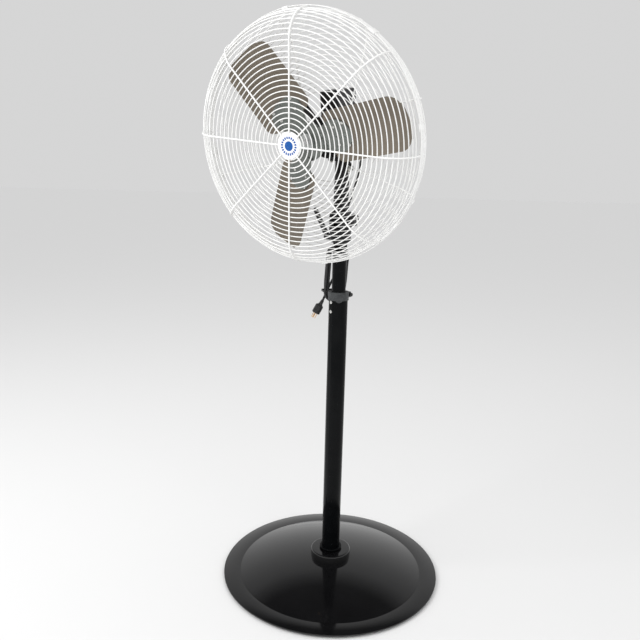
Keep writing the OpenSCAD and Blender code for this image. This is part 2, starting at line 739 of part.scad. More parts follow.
module rear_bell() color(gloss_black) head_at() difference() {
    union() {
        translate([0, 0, motor_back]) rotate_extrude() {
            square([motor_r - rear_bell_edge, rear_bell_l - seat]);
            translate([0, rear_bell_edge]) square([motor_r, rear_bell_l - seat - rear_bell_edge]);
            translate([motor_r - rear_bell_edge, rear_bell_edge]) circle(r = rear_bell_edge, $fn = 32);
        }
        translate([gland_x, 0, gland_z]) rotate([90, 0, 0]) cylinder(h = motor_r, d = gland_boss_d, $fn = 48);
    }
    difference() {
        translate([0, 0, motor_back + rear_bell_wall]) cylinder(h = bell_cut, r = motor_r - motor_wall);
        translate([0, 0, motor_back]) cylinder(h = bearing_w + bearing_rest, r = bearing_d / 2 + seat_wall_r);
        bolt_places(motor_back) cylinder(h = bell_cut, d = bolt_d + 8, $fn = 32);
    }
    translate([0, 0, motor_back + bearing_rest]) cylinder(h = bell_cut, r = bearing_d / 2 + seat);
    translate([0, 0, motor_back + 3]) cylinder(h = bell_cut, r = shaft_d / 2 + shaft_gap);
    bolt_places(motor_back - 1) cylinder(h = bell_cut, d = bolt_d + 2 * seat, $fn = 32);
    translate([gland_x, 0, gland_z]) rotate([90, 0, 0])
        cylinder(h = motor_r + 20, d = gland_d + 2 * seat, $fn = 48);
}

module stator() color(spider_grey) head_at() difference() {
    translate([0, 0, core_mid - core_l / 2]) pipe(core_r + air_gap, stator_r, core_l);
    bolt_places(core_mid - core_l) cylinder(h = 2 * core_l, d = bolt_d + 2 * seat, $fn = 32);
}

module windings() color(brass_tone) head_at() for (s = [-1, 1])
    translate([0, 0, core_mid + s * (core_l / 2 + 7 + seat) - 7]) pipe(core_r + 5, bolt_ring_r - 5, 14);

module bearing(z) {
    head_at() translate([0, 0, z]) difference() {
        pipe(shaft_d / 2 + fit, bearing_d / 2, bearing_w);
        for (e = [-1, bearing_w - 1]) translate([0, 0, e]) pipe(shaft_d / 2 + 3.4, bearing_d / 2 - 3, 2);
    }
}

module front_bearing() color(zinc) bearing(bearing_front);
module rear_bearing() color(zinc) bearing(motor_back + bearing_rest + seat);

module through_bolts() color(zinc) head_at() bolt_places(motor_back) {
    translate([0, 0, -4 - seat]) cylinder(h = 4, d = 9, $fn = 48);
    translate([0, 0, -1]) cylinder(h = shell_front - motor_back + 4.5, d = bolt_d, $fn = 32);
}

module box_outline(grow) {
    rounded_plate(box_w + 2 * grow, box_l + 2 * grow, box_corner_r + grow);
}

module box_screw_places() {
    for (x = [-1, 1]) for (z = [-1, 1])
        translate([x * (box_w / 2 - box_screw_in), cover_y, box_mid + z * (box_l / 2 - box_screw_in)])
            rotate([-90, 0, 0]) children();
}

module switch_box() color(gloss_black) head_at() difference() {
    translate([0, cover_y - seat, box_mid]) rotate([90, 0, 0])
        linear_extrude(cover_y - motor_r / 2) box_outline(0);
    difference() {
        translate([0, cover_y + 1, box_mid]) rotate([90, 0, 0])
            linear_extrude(cover_y + 1 - box_floor) box_outline(-box_wall);
        box_screw_places() translate([0, 0, -30]) cylinder(h = 40, d = 11, $fn = 32);
    }
    translate([0, 0, box_back - 5]) cylinder(h = box_l + 10, r = motor_r + seat);
    box_screw_places() translate([0, 0, -22]) cylinder(h = 40, d = 4 + 2 * seat, $fn = 32);
    translate([0, switch_y, box_back - 5]) cylinder(h = 20, d = 8 + 2 * fit, $fn = 48);
}

module box_cover() color(gloss_black) head_at() difference() {
    translate([0, cover_y, box_mid]) rotate([-90, 0, 0]) hull() {
        linear_extrude(cover_h - 7) rounded_plate(box_w + 2, box_l + 2, box_corner_r);
        linear_extrude(cover_h - 2.5) rounded_plate(box_w - 3, box_l - 3, box_corner_r);
        linear_extrude(cover_h) rounded_plate(box_w - 13, box_l - 13, box_corner_r - 3);
    }
    translate([0, cover_y - 1, box_mid]) rotate([-90, 0, 0])
        linear_extrude(cover_h - 3.5) rounded_plate(box_w - 26, box_l - 4 * box_corner_r, 5);
    box_screw_places() translate([0, 0, -1]) cylinder(h = 40, d = 4 + 2 * seat, $fn = 32);
    box_screw_places() translate([0, 0, cover_h - 5.4]) cylinder(h = 40, d = 8.4, $fn = 32);
}

module box_screws() color(zinc) head_at() box_screw_places() {
    translate([0, 0, cover_h - 5.4 + seat]) pan_head(7.6, 2.6, $fn = 48);
    translate([0, 0, -20]) cylinder(h = cover_h + 15, d = 4, $fn = 32);
}

module capacitor() color(spider_grey) head_at()
    translate([0, box_floor + cap_d / 2 + seat, box_front - cap_gap - cap_l]) cylinder(h = cap_l, d = cap_d);

module switch_knob() color(gloss_black) head_at() translate([0, switch_y, box_back]) {
    translate([0, 0, -pass_gap - 14]) cylinder(h = 14, r1 = switch_d / 2 - 2, r2 = switch_d / 2);
    translate([-2.5, -switch_d / 2 + 1, -pass_gap - 20]) cube([5, switch_d - 2, 8]);
    translate([0, 0, -1]) cylinder(h = box_wall + 3, d = 8, $fn = 48);
}

module cord_gland() color(dull_grey) head_at() translate([gland_x, -motor_r - seat, gland_z])
    rotate([90, 0, 0]) difference() {
        union() {
            hex(17, 7);
            translate([0, 0, 7]) cylinder(h = gland_l - 7, r1 = 7.5, r2 = 5.2, $fn = 48);
            translate([0, 0, -12]) cylinder(h = 13, d = gland_d, $fn = 48);
        }
        translate([0, 0, -13]) cylinder(h = gland_l + 14, r = cord_d / 2 + seat, $fn = 48);
    }

module cord_lead() color(gloss_black) cord_tube(lead_points, cord_d);

// guard ----------------------------------------------------------------------
module guard_ring(i) {
    p = ring_at(ring_s(i));
    ring(p[0], p[1], wire_d);
}

module to_rear() {
    translate([0, 0, -guard_depth]) mirror([0, 0, 1]) children();
}

module front_guard_face() color(guard_white) head_at()
    for (i = [0:flat_rings - 1]) guard_ring(i);

module front_guard_shoulder() color(guard_white) head_at()
    for (i = [flat_rings:front_rings - 1]) guard_ring(i);

module rear_guard_face() color(guard_white) head_at() to_rear()
    for (i = [rear_skip:flat_rings - 1]) guard_ring(i);

module rear_guard_shoulder() color(guard_white) head_at() to_rear()
    for (i = [flat_rings:front_rings - 1]) guard_ring(i);

// a rib wire in the XZ plane: along X, round a bend and back along -Z
module rib_wire(from, to, bend_r) {
    translate([from, 0, rib_off]) rotate([0, 90, 0]) cylinder(h = to - from, d = rib_d, $fn = 24);
    translate([to, 0, rib_off - bend_r]) rotate([90, 0, 0]) rotate_extrude(angle = 90)
        translate([bend_r, 0]) circle(d = rib_d, $fn = 24);
    translate([to + bend_r, 0, rib_end]) cylinder(h = rib_off - bend_r - rib_end, d = rib_d, $fn = 24);
}

module front_guard_ribs() color(guard_white) head_at() {
    for (k = [0:front_ribs - 1]) rotate([0, 0, rib_turn + k * 360 / front_ribs])
        rib_wire(rib_start, flat_r, shoulder_r + rib_off);
    translate([0, 0, plate_top - plate_t]) cylinder(h = plate_t, r = plate_r);
}

module rear_guard_ribs() color(guard_white) head_at() to_rear()
    for (k = [0:vee_count - 1]) rotate([0, 0, rib_turn + 45 + k * 90]) translate([vee_r, 0, 0]) {
        for (s = [-1, 1]) rotate([0, 0, s * vee_half]) rib_wire(0, vee_leg, vee_bend);
        translate([0, 0, rib_off]) sphere(d = rib_d, $fn = 24);
    }

module guard_screw_places() {
    for (k = [0:vee_count - 1]) rotate([0, 0, rib_turn + 45 + k * 90])
        translate([guard_screw_r, 0, lug_front]) children();
}

module guard_screws() color(zinc) head_at() guard_screw_places() {
    translate([0, 0, -lug_t]) cylinder(h = lug_t + rib_d + 1, d = guard_screw_d, $fn = 32);
    translate([0, 0, rib_d + 2 * seat]) cylinder(h = 1.5, r = 9, $fn = 64);
    translate([0, 0, rib_d + 1.5 + 2 * seat]) hex(10, 4);
}

module rim_strip() {
    translate([0, 0, guard_mid + rim_seam / 2]) pipe(rim_r - rim_t, rim_r, rim_w, $fn = 180);
}

module front_rim() color(guard_white) head_at() rim_strip();
module rear_rim() color(guard_white) head_at() to_rear() rim_strip();

// a spring clip that hooks over the edges of both strips
module rim_clips() color(guard_white) head_at() for (k = [0:clip_count - 1])
    rotate([0, 0, clip_turn + k * 360 / clip_count]) translate([0, 0, guard_mid]) intersection() {
        rotate_extrude($fn = 180) {
            translate([rim_r + seat, -rim_w - 2]) square([clip_t, 2 * rim_w + 4]);
            for (s = [-1, 1]) translate([rim_r - rim_t - 2, s * (rim_w + 1.4) - 0.6])
                square([rim_t + 2 + clip_t + seat, 1.2]);
        }
        translate([rim_r, 0, 0]) cube([30, clip_w, 60], center = true);
    }

module badge() color(guard_white) head_at() translate([0, 0, plate_top + seat]) rotate_extrude() {
    square([badge_d / 2 - badge_edge, badge_t]);
    square([badge_d / 2, badge_t - badge_edge]);
    translate([badge_d / 2 - badge_edge, badge_t - badge_edge]) circle(r = badge_edge, $fn = 24);
}

// fan ------------------------------------------------------------------------
module rotor_shaft() color(zinc) head_at()
    translate([0, 0, shaft_back]) cylinder(h = hub_front + 3 - shaft_back, d = shaft_d);

module rotor_core() color(dull_grey) head_at()
    translate([0, 0, core_mid - core_l / 2]) pipe(shaft_d / 2 + seat, core_r, core_l);

module blade_at(k) {
    head_at() translate([0, 0, -blade_back]) rotate([0, 0, blade_turn + k * 120]) rotate([blade_pitch, 0, 0])
        children();
}

// a sheet bent to the blade's hollow, its back face at the given radius
module bent_sheet(back_r, t, l) {
    translate([-1, 0, camber_r]) rotate([0, 90, 0]) pipe(back_r - t, back_r, l, $fn = 180);
}

module blade_outline() {
    tip_corner = 34;
    root_corner = 26;
    intersection() {
        circle(r = blade_r, $fn = 180);
        union() {
            translate([root_r, -blade_w / 2 + root_corner]) square([blade_r, blade_w - 2 * root_corner]);
            translate([root_r + root_corner, -blade_w / 2])
                square([blade_r - root_r - root_corner - tip_corner - 8, blade_w]);
            for (s = [-1, 1]) {
                translate([root_r + root_corner, s * (blade_w / 2 - root_corner)])
                    circle(r = root_corner, $fn = 64);
                translate([blade_r - tip_corner - 8, s * (blade_w / 2 - tip_corner)])
                    circle(r = tip_corner, $fn = 64);
            }
        }
    }
}

module rivet_places() {
    for (p = rivet_spots) translate([p[0], 0, camber_r])
        rotate([asin(p[1] / camber_r), 0, 0]) translate([0, 0, -camber_r]) children();
}

module blade(k) {
    blade_at(k) difference() {
        intersection() {
            bent_sheet(camber_r + blade_t + seat, blade_t, blade_r + 20);
            translate([0, 0, -20]) linear_extrude(60) blade_outline();
        }
        rivet_places() translate([0, 0, -10]) cylinder(h = 20, d = rivet_d, $fn = 32);
    }
}

module blade_1() color(blade_grey) blade(0);
module blade_2() color(blade_grey) blade(1);
module blade_3() color(blade_grey) blade(2);

module arm_outline() {
    end_corner = 44;
    intersection() {
        circle(r = spider_r, $fn = 180);
        union() {
            polygon([[arm_root_r, -arm_root_w / 2], [spider_r - end_corner, -spider_w / 2],
                     [spider_r - end_corner, spider_w / 2], [arm_root_r, arm_root_w / 2]]);
            translate([spider_r - end_corner - 1, -spider_w / 2 + end_corner])
                square([end_corner + 5, spider_w - 2 * end_corner]);
            for (s = [-1, 1]) translate([spider_r - end_corner - 1, s * (spider_w / 2 - end_corner)])
                circle(r = end_corner, $fn = 96);
        }
    }
}

module spider() color(spider_grey) difference() {
    union() {
        for (k = [0:2]) blade_at(k) difference() {
            intersection() {
                bent_sheet(camber_r, spider_t, spider_r + 20);
                translate([0, 0, -20]) linear_extrude(60) arm_outline();
            }
            rivet_places() translate([0, 0, -10]) cylinder(h = 20, d = rivet_d, $fn = 32);
        }
        head_at() translate([0, 0, -blade_back]) cylinder(h = disc_t, r = disc_r);
    }
    head_at() translate([0, 0, -blade_back - hub_d]) cylinder(h = 2 * hub_d, r = hub_d / 2 + seat);
}

module blade_rivets() color(zinc) for (k = [0:2]) blade_at(k) rivet_places() {
    translate([0, 0, -blade_t - seat - 0.4])
        cylinder(h = blade_t + spider_t + 1.2, d = rivet_d - 2 * seat, $fn = 32);
    translate([0, 0, spider_t + 0.15]) pan_head(9, 1.8, $fn = 32);
    translate([0, 0, -blade_t - seat - 0.1]) mirror([0, 0, 1]) cylinder(h = 1.4, d = 8, $fn = 32);
}

module hub() color(spider_grey) head_at() difference() {
    union() {
        translate([0, 0, hub_back]) cylinder(h = hub_front - hub_back, d = hub_d);
        translate([0, 0, -blade_back - seat - disc_t]) cylinder(h = disc_t, r = hub_flange_r);
    }
    translate([0, 0, hub_back - 1]) cylinder(h = hub_front - hub_back + 2, r = shaft_d / 2 + seat);
    translate([0, 0, hub_back + 9]) rotate([0, 90, 0]) cylinder(h = hub_d, d = 6.1, $fn = 32);
}

module hub_screw() color(dull_grey) head_at() translate([0, 0, hub_back + 9]) rotate([0, 90, 0])
    translate([0, 0, shaft_d / 2 + seat]) cylinder(h = hub_d / 2 - shaft_d / 2 - 1, d = 6, $fn = 32);

base();
base_bolt();
column_plug();
lower_tube();
foot_ring();
guide_bush();
clamp_collar();
bush_screws();
height_screw();
upper_tube();
foot_bush();
neck_socket();
tilt_bolt();
cord_clip();
clip_screw();
cord_run();
cord_hank();
cord_tie();
cord_tail();
plug_body();
plug_prongs();
pan_lever();
tilt_knob();
neck_arm();
saddle_bolts();
motor_shell();
front_bell();
rear_bell();
stator();
windings();
front_bearing();
rear_bearing();
through_bolts();
switch_box();
box_cover();
box_screws();
capacitor();
switch_knob();
cord_gland();
cord_lead();
front_guard_face();
front_guard_shoulder();
front_guard_ribs();
rear_guard_face();
rear_guard_shoulder();
rear_guard_ribs();
guard_screws();
front_rim();
rear_rim();
rim_clips();
badge();
rotor_shaft();
rotor_core();
hub();
hub_screw();
spider();
blade_1();
blade_2();
blade_3();
blade_rivets();
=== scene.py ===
import math

import bmesh
import bpy
import numpy as np
from mathutils import Matrix, Vector


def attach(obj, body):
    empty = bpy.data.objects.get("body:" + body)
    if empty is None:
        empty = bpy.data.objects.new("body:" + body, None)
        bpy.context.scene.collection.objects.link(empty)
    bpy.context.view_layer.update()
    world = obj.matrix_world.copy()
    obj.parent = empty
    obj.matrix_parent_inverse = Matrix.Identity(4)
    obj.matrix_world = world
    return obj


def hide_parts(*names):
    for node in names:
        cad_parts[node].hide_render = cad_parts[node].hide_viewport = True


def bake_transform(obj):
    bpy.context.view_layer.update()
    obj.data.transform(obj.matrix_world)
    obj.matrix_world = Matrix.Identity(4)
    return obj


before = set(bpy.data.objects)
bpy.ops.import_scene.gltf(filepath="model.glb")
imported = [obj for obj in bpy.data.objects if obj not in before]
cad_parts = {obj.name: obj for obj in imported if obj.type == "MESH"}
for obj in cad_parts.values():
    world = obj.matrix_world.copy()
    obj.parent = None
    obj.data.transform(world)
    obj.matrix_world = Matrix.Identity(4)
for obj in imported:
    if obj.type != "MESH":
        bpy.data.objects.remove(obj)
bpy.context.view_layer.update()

MM = 0.001

# ---------------------------------------------------------------- sizes, in metres
# the tilt joint, the head's tilt at rest, and the guard's face from the joint
PIVOT_Z = 1.209
HEAD_TILT = math.radians(9.55)
FACE_AHEAD = 0.2466
AXIS_RISE = 0.2537

# the guard: its rings, of which the rear half leaves out the first few
GUARD_R = 0.340
GUARD_DEPTH = 0.184
SHOULDER_R = 0.075
WIRE_D = 0.0030
FIRST_RING_R = 0.0447
RING_PITCH = 0.0137
FRONT_RINGS = 25
REAR_SKIP = 6
# its ribs, which sink into the rings by the weld and end short of the seam between the halves
RIB_D = 0.0045
WELD = 0.00015
RIB_OFF = (WIRE_D + RIB_D) / 2 - WELD
RIB_TURN = math.radians(-5.4)
FRONT_RIBS = 8
REAR_RIBS = 8
SEAM_GAP = 0.003
# the vees of the rear ribs: how far off the axis they start and how far each side leans out
VEE_R = 0.105
VEE_HALF = math.radians(31)

# the badge, and the plate behind it
BADGE_R = 0.034
BADGE_GAP = 0.0006
PLATE_EDGE = 0.004
PLATE_T = 0.0016
PLATE_AHEAD = 0.00085

# the base: its rim, dome and boss
BASE_R = 0.3645
RIM_H = 0.011
RIM_EDGE = 0.004
RIM_ROUND = 0.0012
RIM_CHAMFER = 0.0004
DOME_R = 0.308
DOME_TOP = 0.059
DOME_STEP = 0.001
BASE_WALL = 0.007
BOSS_R = 0.067
BOSS_TOP = 0.084
BOSS_EDGE = 0.005
# underneath: the solid core with the bolt's hole and the tube's seat, and the ribs round it
CORE_R = 0.048
CORE_FOOT = 0.014
BOLT_HOLE_R = 0.0065
SEAT_Z = 0.024
BASE_RIBS = 6
BASE_RIB_T = 0.008
BASE_RIB_FOOT = 0.004
BASE_RIB_SINK = 0.001
TUBE_R = 0.03015
TUBE_SLIP = 0.0001

# the cord, and its hank behind the column: from fold to fold, and how it hangs
CORD_D = 0.0076
CORD_STEP = 0.0045
CORD_IN_PLUG = 0.004
HANK_RUN = 0.120
HANK_OUT = 0.064
HANK_TURN = math.radians(135)
HANK_Z = 1.028
HANK_LEAN = math.radians(3.5)
HANK_FOOT = -0.088
TAIL_END = Vector((-76.4, 29.7, 938)) * MM
PLUG_TURN = math.radians(212)
PLUG_LEAN = math.radians(-28)

# the strap round the hank, in the hank's own places
STRAP_HALF_W = 0.0372
STRAP_BACK = -0.0132
STRAP_FRONT = 0.0216
STRAP_CORNER_R = 0.006
STRAP_HALF_H = 0.0030
STRAP_T = 0.0014
STRAP_UP = 0.004

# how many flat sides each round thing has
RING_SIDES = 200
WIRE_SIDES = 9
RIB_SIDES = 12
CORD_SIDES = 14
PLUG_SIDES = 56
BADGE_SIDES = 96
BASE_SIDES = 240

# the angle in degrees from which an edge is sharp
SHARP = 35.0
# how close two vertices are merged, in built meshes and in the CAD's
MERGE, CAD_MERGE = 1e-7, 2e-6
# the angle in degrees up to which the CAD's facets count as flat
FACET = 0.5

# places on the head: x to the right, y up, z forward from the middle of the guard's face
HEAD = (Matrix.Translation((0, 0, PIVOT_Z)) @ Matrix.Rotation(HEAD_TILT, 4, "X")
        @ Matrix.Translation((0, -FACE_AHEAD, AXIS_RISE)) @ Matrix.Rotation(math.pi / 2, 4, "X"))
# places on the plug: its neck at the origin, its prongs towards -z
PLUG = (Matrix.Translation(TAIL_END) @ Matrix.Rotation(PLUG_TURN, 4, "Z")
        @ Matrix.Rotation(PLUG_LEAN, 4, "Y"))
# places on the hank: x across it, y up, z away from the column
HANK = (Matrix.Rotation(HANK_TURN, 4, "Z") @ Matrix.Translation((HANK_OUT, 0, HANK_Z))
        @ Matrix.Rotation(math.pi / 2, 4, "Z") @ Matrix.Rotation(math.pi / 2, 4, "X"))


# ---------------------------------------------------------------- camera, light, floor
# the camera's place, its turns in degrees, and its lens
EYE = (1.0806, -1.8569, 1.3759)
EYE_PAN = 31.706
EYE_DIP = 12.841
EYE_ROLL = 1.487
LENS_MM = 38.74
SENSOR_MM = 36
FAR_END = 30
FLOOR_HALF = 40.0
# how bright the room is behind the object and on dull surfaces
BACKDROP = 0.67
DAYLIGHT = 0.95
# the room's tone at each height of view, from level to straight up
ROOM = ((0.0, 0.85), (0.45, 0.60), (0.68, 0.40), (0.80, 0.06), (1.0, 0.03))
# each lamp's place, what it points at, its width and height, and its power
LAMPS = {
    "key": ((-1.9, -2.9, 2.8), (0, -0.2, 1.3), (2.4, 2.4), 90),
    "side": ((3.0, -1.6, 1.9), (0, 0, 1.1), (1.6, 2.2), 16),
    "top": ((0.2, 0.6, 4.2), (0, 0, 0), (2.6, 2.6), 16),
}


def camera():
    """The camera, in front of the fan and to one side, looking a little down."""
    data = bpy.data.cameras.new("camera")
    data.lens, data.sensor_width, data.clip_end = LENS_MM, SENSOR_MM, FAR_END
    eye = bpy.data.objects.new("camera", data)
    bpy.context.collection.objects.link(eye)
    turn = (Matrix.Rotation(math.radians(EYE_PAN), 4, "Z")
            @ Matrix.Rotation(math.radians(90 - EYE_DIP), 4, "X")
            @ Matrix.Rotation(math.radians(EYE_ROLL), 4, "Z"))
    eye.matrix_world = Matrix.Translation(EYE) @ turn
    bpy.context.scene.camera = eye


def soft_light(name, at, aim, size, power):
    """A rectangular lamp that gloss doesn't mirror."""
    data = bpy.data.lights.new(name, "AREA")
    data.shape, data.size, data.size_y = "RECTANGLE", size[0], size[1]
    data.energy = power
    lamp = bpy.data.objects.new(name, data)
    lamp.location = at
    lamp.rotation_euler = (Vector(aim) - Vector(at)).to_track_quat("-Z", "Y").to_euler()
    lamp.visible_glossy = False
    bpy.context.collection.objects.link(lamp)


def sky():
    """A pale room: an even light and backdrop, whose walls and dark ceiling show only in gloss."""
    world = bpy.data.worlds.new("studio")
    world.use_nodes = True
    nodes, links = world.node_tree.nodes, world.node_tree.links
    walls = nodes["Background"]
    light = nodes.new("ShaderNodeLightPath")
    split = nodes.new("ShaderNodeSeparateXYZ")
    links.new(nodes.new("ShaderNodeTexCoord").outputs["Generated"], split.inputs[0])
    band = nodes.new("ShaderNodeValToRGB")
    for height, _ in ROOM[1:-1]:
        band.color_ramp.elements.new(height)
    for element, (height, tone) in zip(band.color_ramp.elements, ROOM):
        element.position = height
        element.color = (tone, tone, tone, 1)
    links.new(split.outputs["Z"], band.inputs["Fac"])
    links.new(band.outputs["Color"], walls.inputs["Color"])
    surface = walls.outputs[0]
    for ray, tone in (("Is Diffuse Ray", DAYLIGHT), ("Is Camera Ray", BACKDROP)):
        even = nodes.new("ShaderNodeBackground")
        even.inputs["Color"].default_value = (tone, tone, tone, 1)
        mix = nodes.new("ShaderNodeMixShader")
        links.new(light.outputs[ray], mix.inputs["Fac"])
        links.new(surface, mix.inputs[1])
        links.new(even.outputs[0], mix.inputs[2])
        surface = mix.outputs[0]
    links.new(surface, nodes["World Output"].inputs["Surface"])
    bpy.context.scene.world = world


def studio():
    """The room, its lamps and a white floor."""
    bpy.context.scene.view_settings.view_transform = "Standard"
    sky()
    for name, (at, aim, size, power) in LAMPS.items():
        soft_light(name, at, aim, size, power)
    mesh = bpy.data.meshes.new("floor")
    corners = [(x * FLOOR_HALF, y * FLOOR_HALF, 0) for x, y in ((-1, -1), (1, -1), (1, 1), (-1, 1))]
    mesh.from_pydata(corners, [], [(0, 1, 2, 3)])
    floor = bpy.data.objects.new("floor", mesh)
    bpy.context.collection.objects.link(floor)
    mesh.materials.append(Finish("floor_white", (0.71, 0.71, 0.71), 0.9, specular=0.0).material)


# ---------------------------------------------------------------- materials
# the part of the noise's range that a material's colour and roughness spread over
NOISE_LOW, NOISE_HIGH = 0.3, 0.7


class Finish:
    """A material built up from its shader, with colour and relief from noise."""

    def __init__(self, name, colour, roughness, metallic=0.0, coat=0.0, coat_roughness=0.1,
                 specular=0.5):
        self.name = name
        self.material = bpy.data.materials.new(name)
        self.material.use_nodes = True
        self.nodes = self.material.node_tree.nodes
        self.links = self.material.node_tree.links
        self.shader = self.nodes["Principled BSDF"]
        for socket, value in (("Base Color", (*colour, 1)), ("Roughness", roughness),
                              ("Metallic", metallic), ("Coat Weight", coat),
                              ("Coat Roughness", coat_roughness), ("Specular IOR Level", specular)):
            self.shader.inputs[socket].default_value = value
        self.material.diffuse_color = (*colour, 1)
        self.place = self.nodes.new("ShaderNodeTexCoord").outputs["Object"]

    def noise(self, scale, detail=3.0, stretch=None):
        """Noise in the object's own places, drawn out along the axes with the small scales."""
        node = self.nodes.new("ShaderNodeTexNoise")
        node.inputs["Scale"].default_value = scale
        node.inputs["Detail"].default_value = detail
        place = self.place
        if stretch:
            mapping = self.nodes.new("ShaderNodeMapping")
            mapping.inputs["Scale"].default_value = stretch
            self.links.new(place, mapping.inputs["Vector"])
            place = mapping.outputs["Vector"]
        self.links.new(place, node.inputs["Vector"])
        return node.outputs["Fac"]

    def ramp(self, factor, stops):
        """A colour for each value, blended between the stops."""
        node = self.nodes.new("ShaderNodeValToRGB")
        band = node.color_ramp
        while len(band.elements) < len(stops):
            band.elements.new(0.5)
        for element, (at, colour) in zip(band.elements, stops):
            element.position = at
            element.color = (*colour, 1)
        self.links.new(factor, node.inputs["Fac"])
        return node.outputs["Color"]

    def mottled(self, low, high, scale, detail=3.0):
        """A base colour that drifts between two."""
        spread = self.ramp(self.noise(scale, detail), ((NOISE_LOW, low), (NOISE_HIGH, high)))
        self.links.new(spread, self.shader.inputs["Base Color"])
        return self

    def rough(self, low, high, scale):
        """A roughness that drifts between two."""
        node = self.nodes.new("ShaderNodeMapRange")
        node.inputs["To Min"].default_value = low
        node.inputs["To Max"].default_value = high
        node.inputs["From Min"].default_value = NOISE_LOW
        node.inputs["From Max"].default_value = NOISE_HIGH
        self.links.new(self.noise(scale, 4.0), node.inputs["Value"])
        self.links.new(node.outputs["Result"], self.shader.inputs["Roughness"])
        return self

    def relief(self, scale, depth, detail=2.0, strength=0.5, stretch=None):
        """Fine bumps in the surface's shading."""
        bump = self.nodes.new("ShaderNodeBump")
        bump.inputs["Distance"].default_value = depth
        bump.inputs["Strength"].default_value = strength
        self.links.new(self.noise(scale, detail, stretch), bump.inputs["Height"])
        for socket in ("Normal", "Coat Normal"):
            self.links.new(bump.outputs["Normal"], self.shader.inputs[socket])
        return self


